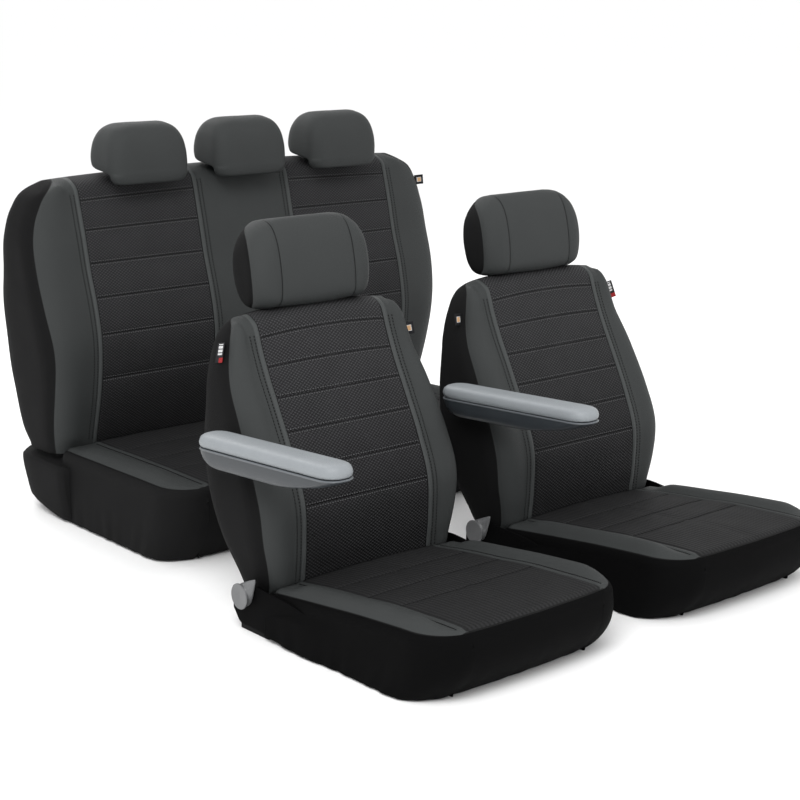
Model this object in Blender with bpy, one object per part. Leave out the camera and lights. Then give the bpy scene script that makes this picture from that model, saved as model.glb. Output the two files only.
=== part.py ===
"""A seat cover set on its seats: two front bucket seats and a rear bench.

Units are metres, +Z is up and the seats face -Y, so an occupant's left is +X.
Each seat is modelled in its own frame: y = 0 is the bite line, where the back meets the cushion, and z = 0 is
the floor. Covers are cloth shells over foam, and the foam sits on pans and frames. Every moving group hangs on
an empty that stands on its joint's axis.
"""

import math

import bmesh
import bpy
from mathutils import Matrix, Vector

# ---------------------------------------------------------------- clearances and walls
GAP = 0.0005  # between pieces that touch
COVER = 0.005  # padded cover cloth
RUN = 0.0005  # radial room round a shaft, post or bolt
CLEAR = 0.004  # room beside pieces that swing past each other
BLOCK_ROOM = 0.002  # foam is cut this far clear of a frame's blocks

# ---------------------------------------------------------------- front seat, driving sizes
CUSHION_WIDTH = 0.566
CUSHION_DEPTH = 0.525  # bite line to front edge
CUSHION_FRONT_HEIGHT = 0.162  # top of the front edge above the floor
BITE_HEIGHT = 0.116  # top of the cushion at the bite line
BACK_WIDTH = 0.610
BACK_HEIGHT = 0.690  # floor to the top of the back
PAN_HEIGHT = 0.022
RUNNER = 0.030  # width of the runners under the pans
PAN_SHEET = 0.003  # pressed steel of the pans
PANEL_SHEET = 0.0016  # pressed steel of the back panels

RECLINER_Y = 0.072
RECLINER_HEIGHT = 0.088
BACK_DROP = 0.028  # the back's lower edge hangs this far under the recliner axis
SHAFT_RADIUS = 0.007
EAR_THICKNESS = 0.005
EAR_RADIUS = 0.026

HEADREST_WIDTH = 0.328
HEADREST_HEIGHT = 0.196
HEADREST_DEPTH = 0.124
HEADREST_TILT = math.radians(10)
POST_RADIUS = 0.006
POST_SPACING = 0.150
POST_LENGTH = 0.150  # below the headrest
GUIDE_WALL = 0.003

ARMREST_LENGTH = 0.500
ARMREST_WIDTH = 0.075
ARMREST_PAD = 0.030  # thickness of the soft top
ARMREST_SHELL = 0.048  # depth of the hard underside
ARMREST_SETBACK = 0.067  # its bolt stands this far behind the front of the back
ARMREST_TAIL = 0.025  # what reaches behind the bolt
ARMREST_BLOCK = 0.015  # half the height of the block that holds the bolt
ARMREST_HEIGHT = 0.420
ARMREST_RISE = math.radians(3)  # it climbs towards its front end
BOLT_RADIUS = 0.008

LEVER_RADIUS = 0.031
LEVER_THICKNESS = 0.020
SHIELD_THICKNESS = 0.006
SHIELD_REACH = 0.140  # in front of the bite line
STRAP_WIDTH = 0.030
STRAP_THICKNESS = 0.0015
AIRBAG_TAG = (0.028, 0.042)  # width and height
MAKER_TAG = (0.026, 0.028)
TAG_THICKNESS = 0.0015
TAG_SETBACK = 0.050  # behind the front of the back, where the side is flat
TAG_SHARE = 0.835  # of the back's height

# ---------------------------------------------------------------- bench, driving sizes
BENCH_WIDTH = 1.412
BENCH_BACK_HEIGHT = 0.905
BENCH_CUSHION_WIDTH = 1.290
BENCH_CUSHION_DEPTH = 0.560
BENCH_CUSHION_HEIGHT = 0.204
BENCH_SHELF_HEIGHT = 0.150  # the base runs back under the seat back at this height
BENCH_SHELF_DEPTH = 0.240
BENCH_PAN_HEIGHT = 0.028
BENCH_HINGE_Y = 0.055
BENCH_HINGE_HEIGHT = 0.255
BENCH_BACK_BOTTOM = 0.185
BENCH_BRACKET_X = 0.400
BENCH_HEADREST_WIDTH = 0.242
BENCH_HEADREST_HEIGHT = 0.172
BENCH_HEADREST_SPACING = 0.335
BENCH_HEADREST_FRONT = -0.030
BENCH_HEADREST_LIP = 0.038  # how far the front lip hangs below the top of the back
BENCH_POST_SPACING = 0.110
BENCH_POST_SETBACK = 0.038  # behind the front edge of the top of the back

# ---------------------------------------------------------------- layout of the three seats
SEAT_GAP = 0.032  # between a front seat's back and its neighbour's armrest
LEG_SPACE = 0.515  # front seats' bite line to the bench cushion's front edge
BENCH_OFFSET = 0.086  # the bench stands this far to the left of the front pair's middle

# A back is a stack of level sections. Each row: share of the height from the lower edge to the top, share of
# the half width, and the y of the front and rear faces.
BACK_SECTIONS = (
    (0.000, 0.870, 0.045, 0.130),
    (0.057, 0.900, 0.012, 0.162),
    (0.130, 0.925, 0.002, 0.193),
    (0.228, 0.970, -0.003, 0.220),
    (0.358, 1.000, 0.000, 0.246),
    (0.504, 0.990, 0.035, 0.266),
    (0.650, 0.950, 0.082, 0.276),
    (0.780, 0.890, 0.124, 0.278),
    (0.886, 0.810, 0.154, 0.272),
    (0.959, 0.690, 0.172, 0.262),
    (1.000, 0.530, 0.190, 0.244),
)
BENCH_SECTIONS = (
    (0.000, 0.925, 0.010, 0.235),
    (0.050, 0.940, 0.000, 0.250),
    (0.240, 0.970, -0.036, 0.266),
    (0.410, 0.988, -0.050, 0.268),
    (0.550, 1.000, -0.032, 0.262),
    (0.670, 0.995, -0.006, 0.252),
    (0.800, 0.968, 0.016, 0.236),
    (0.900, 0.915, 0.034, 0.214),
    (0.960, 0.855, 0.046, 0.192),
    (1.000, 0.770, 0.060, 0.160),
)
CORNER = 0.045
FOAM_SHARE = 0.33  # of the back's depth, in front of the frame
PAD_EASE = 0.004  # keeps a pad's tighter corners off its cover
PANEL_SHARE = 0.75  # where the frame's panel stands in the back's depth

# ---------------------------------------------------------------- materials: base colour, roughness, metallic
MATERIALS = {
    "charcoal_cloth": ((0.060, 0.064, 0.064), 0.75, 0.0),
    "black_cloth": ((0.020, 0.020, 0.021), 0.85, 0.0),
    "foam": ((0.55, 0.50, 0.36), 0.95, 0.0),
    "grey_vinyl": ((0.36, 0.38, 0.40), 0.45, 0.0),
    "grey_plastic": ((0.23, 0.26, 0.29), 0.40, 0.0),
    "black_plastic": ((0.020, 0.020, 0.020), 0.50, 0.0),
    "steel": ((0.45, 0.45, 0.46), 0.35, 1.0),
    "painted_steel": ((0.05, 0.05, 0.055), 0.45, 0.6),
    "webbing": ((0.03, 0.03, 0.03), 0.90, 0.0),
    "tag_cloth": ((0.70, 0.70, 0.68), 0.80, 0.0),
}


def clear_scene():
    for thing in list(bpy.data.objects):
        bpy.data.objects.remove(thing, do_unlink=True)


def material(name):
    made = bpy.data.materials.get(name)
    if made is None:
        colour, roughness, metallic = MATERIALS[name]
        made = bpy.data.materials.new(name)
        made.use_nodes = True
        shader = made.node_tree.nodes["Principled BSDF"]
        shader.inputs["Base Color"].default_value = (*colour, 1.0)
        shader.inputs["Roughness"].default_value = roughness
        shader.inputs["Metallic"].default_value = metallic
    return made


def add(name, geometry, finish):
    """A new object from a bmesh, with its faces pointing out and its edges split where they are sharp."""
    bmesh.ops.recalc_face_normals(geometry, faces=geometry.faces)
    mesh = bpy.data.meshes.new(name)
    geometry.to_mesh(mesh)
    geometry.free()
    mesh.materials.append(material(finish))
    mesh.shade_smooth()
    mesh.set_sharp_from_angle(angle=math.radians(40))
    made = bpy.data.objects.new(name, mesh)
    bpy.context.scene.collection.objects.link(made)
    return made


def combine(target, tool, operation):
    """Applies a Boolean of tool to target, and removes tool."""
    modifier = target.modifiers.new(operation.lower(), "BOOLEAN")
    modifier.operation = operation
    modifier.object = tool
    graph = bpy.context.evaluated_depsgraph_get()
    mesh = bpy.data.meshes.new_from_object(target.evaluated_get(graph))
    target.modifiers.clear()
    target.data = mesh
    bpy.data.objects.remove(tool, do_unlink=True)
    return target


def cut(target, tool):
    return combine(target, tool, "DIFFERENCE")


def join(target, tool):
    return combine(target, tool, "UNION")


# ---------------------------------------------------------------- shapes
def ring(half_width, front, rear, height, corner=CORNER, steps=2, rear_corner=None):
    """A level rounded rectangle, as points. height is a number, or a function of y."""
    front_radius = min(corner, 0.49 * (rear - front), 0.49 * 2 * half_width)
    rear_radius = front_radius if rear_corner is None else rear_corner
    points = []
    for turn, x, y, radius in (
        (0, half_width - rear_radius, rear - rear_radius, rear_radius),
        (1, rear_radius - half_width, rear - rear_radius, rear_radius),
        (2, front_radius - half_width, front + front_radius, front_radius),
        (3, half_width - front_radius, front + front_radius, front_radius),
    ):
        for step in range(steps + 1):
            angle = math.pi / 2 * (turn + step / steps)
            at = Vector((x + radius * math.cos(angle), y + radius * math.sin(angle), 0))
            at.z = height(at.y) if callable(height) else height
            points.append(at)
    return points


def skin(geometry, rings, start_cap=True, end_cap=True):
    """Joins rings of equal length with quads, and closes the two ends. Returns the rings' vertices."""
    made = [[geometry.verts.new(p) for p in loop] for loop in rings]
    count = len(rings[0])
    for low, high in zip(made, made[1:]):
        for i in range(count):
            j = (i + 1) % count
            geometry.faces.new((low[i], low[j], high[j], high[i]))
    if start_cap:
        geometry.faces.new(made[0][::-1])
    if end_cap:
        geometry.faces.new(made[-1])
    return made


def lofted(name, rings, finish):
    geometry = bmesh.new()
    skin(geometry, rings)
    return add(name, geometry, finish)


def hollow(name, outer, inner, finish):
    """A shell that is open at its first ring: outer rings, inner rings and a rim between their first ones."""
    geometry = bmesh.new()
    outside = skin(geometry, outer, start_cap=False)
    inside = skin(geometry, inner, start_cap=False)
    count = len(outer[0])
    for i in range(count):
        j = (i + 1) % count
        geometry.faces.new((outside[0][i], outside[0][j], inside[0][j], inside[0][i]))
    return add(name, geometry, finish)


def box(name, low, high, finish="steel"):
    geometry = bmesh.new()
    size = Vector(high) - Vector(low)
    middle = (Vector(high) + Vector(low)) / 2
    bmesh.ops.create_cube(geometry, size=1, matrix=Matrix.Translation(middle) @ Matrix.Diagonal((*size, 1)))
    return add(name, geometry, finish)


def rod(name, start, end, radius, finish="steel", sides=12):
    """A straight cylinder between two points."""
    geometry = bmesh.new()
    start, end = Vector(start), Vector(end)
    along = end - start
    turn = along.to_track_quat("Z", "Y").to_matrix().to_4x4()
    bmesh.ops.create_cone(
        geometry,
        cap_ends=True,
        segments=sides,
        radius1=radius,
        radius2=radius,
        depth=along.length,
        matrix=Matrix.Translation((start + end) / 2) @ turn,
    )
    return add(name, geometry, finish)


def plate(name, outline, x_low, x_high, finish="steel"):
    """A flat plate across X, from its outline in (y, z)."""
    return lofted(name, [[Vector((x, y, z)) for y, z in outline] for x in (x_low, x_high)], finish)


def arc(centre, radius, start, end, steps):
    """Points on a circle in (y, z), with angles in degrees from +y towards +z."""
    angles = [math.radians(start + (end - start) * i / steps) for i in range(steps + 1)]
    return [(centre[0] + radius * math.cos(a), centre[1] + radius * math.sin(a)) for a in angles]


def bent_rod(name, path, radius, finish="steel", sides=8):
    """A round rod along points in one plane of constant y, with mitred bends and closed ends."""
    path = [Vector(p) for p in path]
    loops = []
    for i, point in enumerate(path):
        before = (point - path[i - 1]).normalized() if i else None
        after = (path[i + 1] - point).normalized() if i + 1 < len(path) else None
        along = ((before or after) + (after or before)).normalized()
        across = Vector((0, 1, 0))
        side = across.cross(along).normalized()
        stretch = 1 / max(0.5, along.dot(after or before))
        loops.append(
            [
                point
                + radius * (across * math.cos(a) + side * stretch * math.sin(a))
                for a in (2 * math.pi * k / sides for k in range(sides))
            ]
        )
    return lofted(name, loops, finish)


# ---------------------------------------------------------------- frames that carry the pieces
def empty(name, location, parent=None, turn=0.0):
    """An empty at a place in its parent's frame, turned about X."""
    made = bpy.data.objects.new(name, None)
    bpy.context.scene.collection.objects.link(made)
    made.parent = parent
    made.location = location
    made.rotation_euler = (turn, 0, 0)
    return made


def in_seat(pivot, seat):
    """The pivot's matrix in the seat's frame."""
    matrix = Matrix.Identity(4)
    while pivot is not seat:
        matrix = Matrix.LocRotScale(pivot.location, pivot.rotation_euler, None) @ matrix
        pivot = pivot.parent
    return matrix


def hang(piece, pivot, seat):
    """Parents a piece that was modelled in the seat's frame to a pivot, without moving it."""
    piece.data.transform(in_seat(pivot, seat).inverted())
    piece.parent = pivot
    return piece


def hang_local(piece, pivot):
    """Parents a piece that was modelled in the pivot's own frame."""
    piece.parent = pivot
    return piece


# ---------------------------------------------------------------- sections of the two kinds of back
def section_rows(sections, half_width, bottom, top, inset=0.0, low=None, high=None):
    """(half width, front y, rear y, z) of a back's sections, shrunk by inset, and limited in z."""
    rows = [
        (half_width * width - inset, front + inset, rear - inset, bottom + share * (top - bottom))
        for share, width, front, rear in sections
    ]
    if low is not None:
        rows = clip(rows, low, upward=True)
    if high is not None:
        rows = clip(rows, high, upward=False)
    return rows


def pad_rings(rows, share):
    """Rings of a pad that fills the front share of a back's sections, and follows their front corners."""
    rings = []
    for wide, front, rear, z in rows:
        corner = min(CORNER, 0.49 * (rear - front))
        behind = front + share * (rear - front)
        radius = min(corner, 0.49 * (behind - front))
        narrow = wide - (corner - radius) - PAD_EASE
        rings.append(ring(narrow, front, behind, z, corner=radius, rear_corner=0.001))
    return rings


def clip(rows, limit, upward):
    """Drops the rows below (or above) a height, and ends the list with a row at exactly that height."""
    kept = [row for row in rows if (row[3] > limit if upward else row[3] < limit)]
    for one, other in zip(rows, rows[1:]):
        if one[3] <= limit < other[3]:
            share = (limit - one[3]) / (other[3] - one[3])
            edge = tuple(a + (b - a) * share for a, b in zip(one, other))
            kept = [edge, *kept] if upward else [*kept, edge]
    return kept


def at_height(sections, half_width, bottom, top, z):
    """(half width, front y, rear y) of a back at a height."""
    rows = [(half_width * w, front, rear, bottom + s * (top - bottom)) for s, w, front, rear in sections]
    return clip(rows, min(max(z, bottom), top - 1e-6), upward=True)[0][:3]


def cover_rings(sections, half_width, bottom, top):
    """Outer and inner rings of a back cover: cloth of one thickness, open at the lower edge."""
    outer = section_rows(sections, half_width, bottom, top)
    inner = section_rows(sections, half_width, bottom, top, inset=COVER, high=top - COVER)
    return [ring(*row) for row in outer], [ring(*row) for row in inner]


# ---------------------------------------------------------------- front seat
def half_width_between(back_half, bottom, low, high, sign=1):
    """The back's smallest half width between two heights or, with sign -1, minus its largest."""
    heights = [low + (high - low) * i / 8 for i in range(9)]
    return min(sign * at_height(BACK_SECTIONS, back_half, bottom, BACK_HEIGHT, z)[0] for z in heights)


def front_sizes():
    """Sizes that several pieces share, worked out from the driving ones."""
    back_half = BACK_WIDTH / 2
    bottom = RECLINER_HEIGHT - BACK_DROP
    hub_half = back_half * BACK_SECTIONS[2][1]  # the back's half width beside the recliner
    ear = max(CUSHION_WIDTH / 2, hub_half) + CLEAR
    shield = ear + EAR_THICKNESS + GAP
    block_half = half_width_between(back_half, bottom, ARMREST_HEIGHT - ARMREST_BLOCK, ARMREST_HEIGHT + ARMREST_BLOCK)
    swept = ARMREST_SHELL + ARMREST_TAIL
    widest = -half_width_between(back_half, bottom, ARMREST_HEIGHT - swept, ARMREST_HEIGHT + swept, sign=-1)
    return {
        "back_half": back_half,
        "bottom": bottom,
        "ear": ear,
        "shield": shield,
        "block_half": block_half,
        "arm_y": at_height(BACK_SECTIONS, back_half, bottom, BACK_HEIGHT, ARMREST_HEIGHT)[1] + ARMREST_SETBACK,
        "arm_inner": widest + CLEAR,
    }


def cushion_top(y):
    """Height of the cushion's upper edge: it climbs from the bite line to the front."""
    return BITE_HEIGHT + (CUSHION_FRONT_HEIGHT - BITE_HEIGHT) * min(1.0, max(0.0, -y / CUSHION_DEPTH))


def hem(y):
    """Height of the skirt's lower edge: it lifts at the rear, over the pan."""
    share = min(1.0, max(0.0, (y + 0.20) / 0.11))
    return 0.006 + (PAN_HEIGHT + 0.010 - 0.006) * share * share * (3 - 2 * share)


def cushion_rings(inset, drop):
    """The front cushion's cloth, from the hem up to the crown, shrunk by inset and lowered by drop."""
    half, front, rear = CUSHION_WIDTH / 2, -CUSHION_DEPTH, -0.008
    rows = (
        (0.006, 0.028, hem),
        (0.002, 0.014, lambda y: hem(y) + 0.014),
        (0.000, 0.003, lambda y: 0.45 * hem(y) + 0.55 * cushion_top(y) - 0.5 * drop),
        (0.000, 0.000, lambda y: cushion_top(y) - 0.024 - 0.8 * drop),
        (0.006, 0.006, lambda y: cushion_top(y) - 0.008 - drop),
        (0.026, 0.026, lambda y: cushion_top(y) - drop),
    )
    return [
        ring(half - side - inset, front + nose + inset, rear - 0.5 * side - inset, height, corner=0.07)
        for side, nose, height in rows
    ]


def tray(name, half, front, rear, height, ribs):
    """A pressed pan, open underneath, with a runner from front to rear at each x in ribs."""
    pan = lofted(name, [ring(half, front, rear, z, corner=0.07) for z in (0, height)], "painted_steel")
    edges = [-half + 4 * PAN_SHEET, *[x + side * RUNNER / 2 for x in ribs for side in (-1, 1)], half - 4 * PAN_SHEET]
    for left, right in zip(edges[::2], edges[1::2]):
        cut(pan, box("room", (left, front + 0.025, -0.01), (right, rear - 0.025, height - PAN_SHEET)))
    return pan


def build_cushion(prefix, seat, sizes):
    half = CUSHION_WIDTH / 2
    pan_half = half - COVER - 0.018
    pan = tray(f"{prefix}_seat_pan", pan_half, 0.060 - CUSHION_DEPTH, 0.006, PAN_HEIGHT, (0,))
    ear_out = sizes["ear"] + EAR_THICKNESS
    join(pan, box("wing", (-ear_out, -0.002, 0), (ear_out, 0.102, 0.011)))
    hub = (RECLINER_Y, RECLINER_HEIGHT)
    outline = [(0.000, 0.002), (0.100, 0.002), *arc(hub, EAR_RADIUS, -20, 200, 8)]
    for side in (-1, 1):
        low, high = sorted((side * sizes["ear"], side * ear_out))
        join(pan, plate("ear", outline, low, high))
        cut(pan, rod("bore", (low - 0.01, *hub), (high + 0.01, *hub), SHAFT_RADIUS + RUN))
    hang(pan, seat, seat)

    strap_low = PAN_HEIGHT + GAP
    foam_low = strap_low + STRAP_THICKNESS + GAP
    shrink = COVER + GAP
    rings = cushion_rings(shrink, shrink)
    base = [Vector((p.x, p.y, foam_low)) for p in cushion_rings(shrink + 0.010, shrink)[0]]
    foam = lofted(f"{prefix}_cushion_foam", [base, *rings[2:]], "foam")
    hang(foam, seat, seat)

    cover = hollow(f"{prefix}_cushion_cover", cushion_rings(0, 0), cushion_rings(COVER, COVER), "charcoal_cloth")
    hang(cover, seat, seat)

    reach = pan_half + GAP
    outer = reach + STRAP_THICKNESS
    top = strap_low + STRAP_THICKNESS
    path = [(-outer, 0.010), (-outer, top), (outer, top), (outer, 0.010)]
    path += [(reach, 0.010), (reach, strap_low), (-reach, strap_low), (-reach, 0.010)]
    middle = -0.55 * CUSHION_DEPTH
    loops = [[Vector((x, y, z)) for x, z in path] for y in (middle - STRAP_WIDTH / 2, middle + STRAP_WIDTH / 2)]
    hang(lofted(f"{prefix}_cushion_strap", loops, "webbing"), seat, seat)


def build_recliner(prefix, seat, sizes):
    """The shaft through both ears, a shield beside each of them, and the lever outside the right-hand one."""
    hub = (RECLINER_Y, RECLINER_HEIGHT)
    face = sizes["shield"] + SHIELD_THICKNESS
    lever_inner = face + GAP
    shaft = rod(
        f"{prefix}_recliner_shaft",
        (-lever_inner - 0.6 * LEVER_THICKNESS, *hub),
        (face - GAP, *hub),
        SHAFT_RADIUS,
    )
    hang(shaft, seat, seat)

    outline = [(-SHIELD_REACH, 0.006), (0.122, 0.006), *arc((0.092, RECLINER_HEIGHT - 0.002), 0.030, -30, 90, 4)]
    outline += [(-0.060, RECLINER_HEIGHT + 0.026), (-SHIELD_REACH - 0.006, RECLINER_HEIGHT + 0.014)]
    for side, hand in ((-1, "right"), (1, "left")):
        low, high = sorted((side * sizes["shield"], side * face))
        shield = plate(f"{prefix}_side_shield_{hand}", outline, low, high, "black_cloth")
        cut(shield, rod("bore", (low - 0.01, *hub), (high + 0.01, *hub), SHAFT_RADIUS + RUN))
        hang(shield, seat, seat)

    pivot = empty(f"{prefix}_lever_axis", (0, *hub), seat)
    round_part = arc((0, 0), LEVER_RADIUS, 75, 335, 13)
    horn = [(-0.030 - LEVER_RADIUS, 0.022), (-0.026 - LEVER_RADIUS, 0.030)]
    outline = [*round_part, *arc((0, 0), LEVER_RADIUS, 335, 435, 5)[1:-1]]
    outer = -lever_inner - LEVER_THICKNESS
    lever = plate(f"{prefix}_recline_lever", outline, outer, -lever_inner, "grey_plastic")
    blade = [horn[0], (-0.020, -0.012), (0.0, 0.012), (-0.010, 0.0285), horn[1]]
    join(lever, plate("horn", blade, -lever_inner - 0.5 * LEVER_THICKNESS, -lever_inner - 0.0002))
    cut(lever, rod("bore", (-lever_inner - 0.7 * LEVER_THICKNESS, 0, 0), (0.01 - lever_inner, 0, 0), SHAFT_RADIUS + RUN))
    hang_local(lever, pivot)


def cut_room(target, low, high):
    """Cuts a box out of a piece, with room round it."""
    room = Vector((1, 1, 1)) * BLOCK_ROOM
    cut(target, box("room", Vector(low) - room, Vector(high) + room))


def panel_at(rows, z):
    """The y of a panel at a height, from its rows of (half width, y, z)."""
    for low, high in zip(rows, rows[1:]):
        if z <= high[2]:
            break
    return low[1] + (high[1] - low[1]) * (z - low[2]) / (high[2] - low[2])


def build_back(prefix, seat, sizes):
    """Frame, foam and cover of a front seat's back, on an empty at the recliner."""
    half, bottom, hub = sizes["back_half"], sizes["bottom"], (RECLINER_Y, RECLINER_HEIGHT)
    pivot = empty(f"{prefix}_recliner_axis", (0, *hub), seat)
    frame_ear = half * BACK_SECTIONS[0][1] - COVER - 0.009

    rows = []
    low, high = RECLINER_HEIGHT + 0.050, bottom + 0.91 * (BACK_HEIGHT - bottom)
    for i in range(7):
        z = low + (high - low) * i / 6
        wide, front, rear = at_height(BACK_SECTIONS, half, bottom, BACK_HEIGHT, z)
        rows.append((min(frame_ear, wide - 0.045), front + PANEL_SHARE * (rear - front), z))
    loops = [
        [Vector((w * side, y + step * PANEL_SHEET / 2, z)) for side, step in ((1, -1), (1, 1), (-1, 1), (-1, -1))]
        for w, y, z in rows
    ]
    frame = lofted(f"{prefix}_back_frame", loops, "painted_steel")
    panel_y, panel_z = rows[1][1], rows[1][2]
    outline = [*arc(hub, EAR_RADIUS * 0.85, 180, 330, 6), (panel_y + 0.006, panel_z + 0.02), (panel_y - 0.030, panel_z + 0.03)]
    for side in (-1, 1):
        inner, outer = sorted((side * (frame_ear - EAR_THICKNESS), side * frame_ear))
        join(frame, plate("ear", outline, inner, outer))
        cut(frame, rod("bore", (inner - 0.01, *hub), (outer + 0.01, *hub), SHAFT_RADIUS + RUN))

    guide_top = Vector((0, 0.5 * (BACK_SECTIONS[-1][2] + BACK_SECTIONS[-1][3]) + 0.006, BACK_HEIGHT))
    up = Vector((0, math.sin(HEADREST_TILT), math.cos(HEADREST_TILT)))
    guide_radius = POST_RADIUS + RUN + GUIDE_WALL
    bar_z = high - 0.030
    bar_y = guide_top.y - (BACK_HEIGHT - bar_z) * math.tan(HEADREST_TILT)
    bar_half = POST_SPACING / 2 + guide_radius + 0.012
    bar_low = bar_y - guide_radius - 0.004
    carrier_low = (-bar_half, bar_low, bar_z - 0.012)
    carrier_high = (bar_half, panel_at(rows, bar_z + 0.012), bar_z + 0.012)
    join(frame, box("carrier", carrier_low, carrier_high))
    arm_hub = (sizes["arm_y"], ARMREST_HEIGHT)
    block_x = sizes["block_half"] - COVER - 0.003
    block_low = (-block_x, arm_hub[0] - 0.016, ARMREST_HEIGHT - ARMREST_BLOCK)
    block_high = (-frame_ear + 0.014, panel_at(rows, ARMREST_HEIGHT + ARMREST_BLOCK), ARMREST_HEIGHT + ARMREST_BLOCK)
    join(frame, box("armrest_block", block_low, block_high))
    bolt_inner = -block_x + 0.012
    cut(frame, rod("bolt_bore", (-block_x - 0.01, *arm_hub), (bolt_inner + GAP, *arm_hub), BOLT_RADIUS + RUN))

    pad_rows = section_rows(
        BACK_SECTIONS,
        half,
        bottom,
        BACK_HEIGHT,
        inset=COVER + GAP,
        low=RECLINER_HEIGHT + 0.040,
        high=bottom + 0.94 * (BACK_HEIGHT - bottom),
    )
    foam = lofted(f"{prefix}_back_foam", pad_rings(pad_rows, FOAM_SHARE), "foam")
    cut_room(foam, block_low, block_high)
    cut_room(foam, carrier_low, carrier_high)

    cover = hollow(f"{prefix}_back_cover", *cover_rings(BACK_SECTIONS, half, bottom, BACK_HEIGHT), "charcoal_cloth")
    cut(cover, rod("shaft_hole", (-half, *hub), (half, *hub), SHAFT_RADIUS + 4 * RUN))
    cut(cover, rod("bolt_hole", (-half - 0.01, *arm_hub), (bolt_inner, *arm_hub), BOLT_RADIUS + 2 * RUN))

    for side, hand in ((-1, "right"), (1, "left")):
        x = side * POST_SPACING / 2
        top = Vector((x, guide_top.y, guide_top.z))
        guide = rod(f"{prefix}_post_guide_{hand}", top - up * 0.105, top + up * 0.005, guide_radius, "black_plastic")
        flange = rod("flange", top + up * 0.0035, top + up * 0.008, guide_radius + 0.004)
        join(guide, flange)
        cut(guide, rod("bore", top - up * 0.2, top + up * 0.1, POST_RADIUS + RUN))
        for body in (frame, foam, cover):
            cut(body, rod("guide_room", top - up * 0.2, top + up * 0.05, guide_radius + RUN))
        hang(guide, pivot, seat)
    for body in (frame, foam, cover):
        hang(body, pivot, seat)

    bolt = rod(
        f"{prefix}_armrest_bolt",
        (bolt_inner, *arm_hub),
        (-sizes["arm_inner"] - 0.6 * ARMREST_WIDTH, *arm_hub),
        BOLT_RADIUS,
    )
    hang(bolt, pivot, seat)
    return pivot, guide_top, up


def headrest_rings(width, height, depth, inset, opening):
    """A pillow standing on z = 0, centred on y = 0, from the opening in its underside to its top."""
    half, deep = width / 2, depth / 2
    rows = (
        (0.030, 0.30, 0.00),
        (0.010, 0.86, 0.03),
        (0.000, 0.97, 0.18),
        (0.000, 1.00, 0.50),
        (0.004, 0.98, 0.74),
        (0.018, 0.86, 0.90),
        (0.044, 0.50, 1.00),
    )
    loops = []
    for i, (side, share, level) in enumerate(rows):
        z = level * height + inset * (1 - 2 * level)
        x, y = half - side - inset, deep * share - inset
        if i == 0 and opening:
            x, y = opening[0] - inset, opening[1] - inset
            z = 0.0 if inset == 0 else inset
        loops.append(ring(x, -y, y, z, corner=0.040))
    return loops


def build_headrest(prefix, pivot, seat, guide_top, up):
    """Cover, foam and posts of a front headrest, in the frame of the posts."""
    lift = 0.012  # from the top of the back to the headrest's underside, past the guides' flanges
    at = pivot.matrix_local.inverted() @ (guide_top + up * lift)
    axis = empty(f"{prefix}_headrest_axis", at, pivot, turn=-HEADREST_TILT)
    opening = (POST_SPACING / 2 + 0.020, 0.018)
    outer = headrest_rings(HEADREST_WIDTH, HEADREST_HEIGHT, HEADREST_DEPTH, 0, opening)
    inner = headrest_rings(HEADREST_WIDTH, HEADREST_HEIGHT, HEADREST_DEPTH, COVER, opening)
    for point in inner[0]:
        point.z = 0.0
    cover = hollow(f"{prefix}_headrest_cover", outer, inner, "charcoal_cloth")
    foam = lofted(
        f"{prefix}_headrest_foam",
        headrest_rings(HEADREST_WIDTH, HEADREST_HEIGHT, HEADREST_DEPTH, COVER + GAP, None)[1:],
        "foam",
    )
    cross = 0.5 * HEADREST_HEIGHT
    room = POST_RADIUS + 0.003
    slot = box("slot", (-POST_SPACING / 2 - room, -room, -0.05), (POST_SPACING / 2 + room, room, cross + room))
    cut(foam, slot)
    posts = post_loop(f"{prefix}_headrest_posts", POST_SPACING, POST_LENGTH, cross)
    for piece in (cover, foam, posts):
        hang_local(piece, axis)


def post_loop(name, spacing, length, cross):
    """Two posts and the bar that joins them inside the pad, bent from one rod."""
    half, bend = spacing / 2, 0.014
    corner = [
        (half - bend + bend * math.cos(a), 0, cross - bend + bend * math.sin(a))
        for a in (math.radians(15 + 30 * k) for k in range(3))
    ]
    right = [(half, 0, -length), (half, 0, cross - bend), *corner, (half - bend, 0, cross)]
    left = [(-x, y, z) for x, y, z in reversed(right)]
    return bent_rod(name, right + left, POST_RADIUS)


def armrest_rings(rows, corner_share=0.98):
    """Long rounded loops in the armrest's frame: rows of (z, half width, rear end, front end)."""
    return [ring(half, -front, rear, z, corner=half * corner_share, steps=3) for z, half, rear, front in rows]


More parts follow.
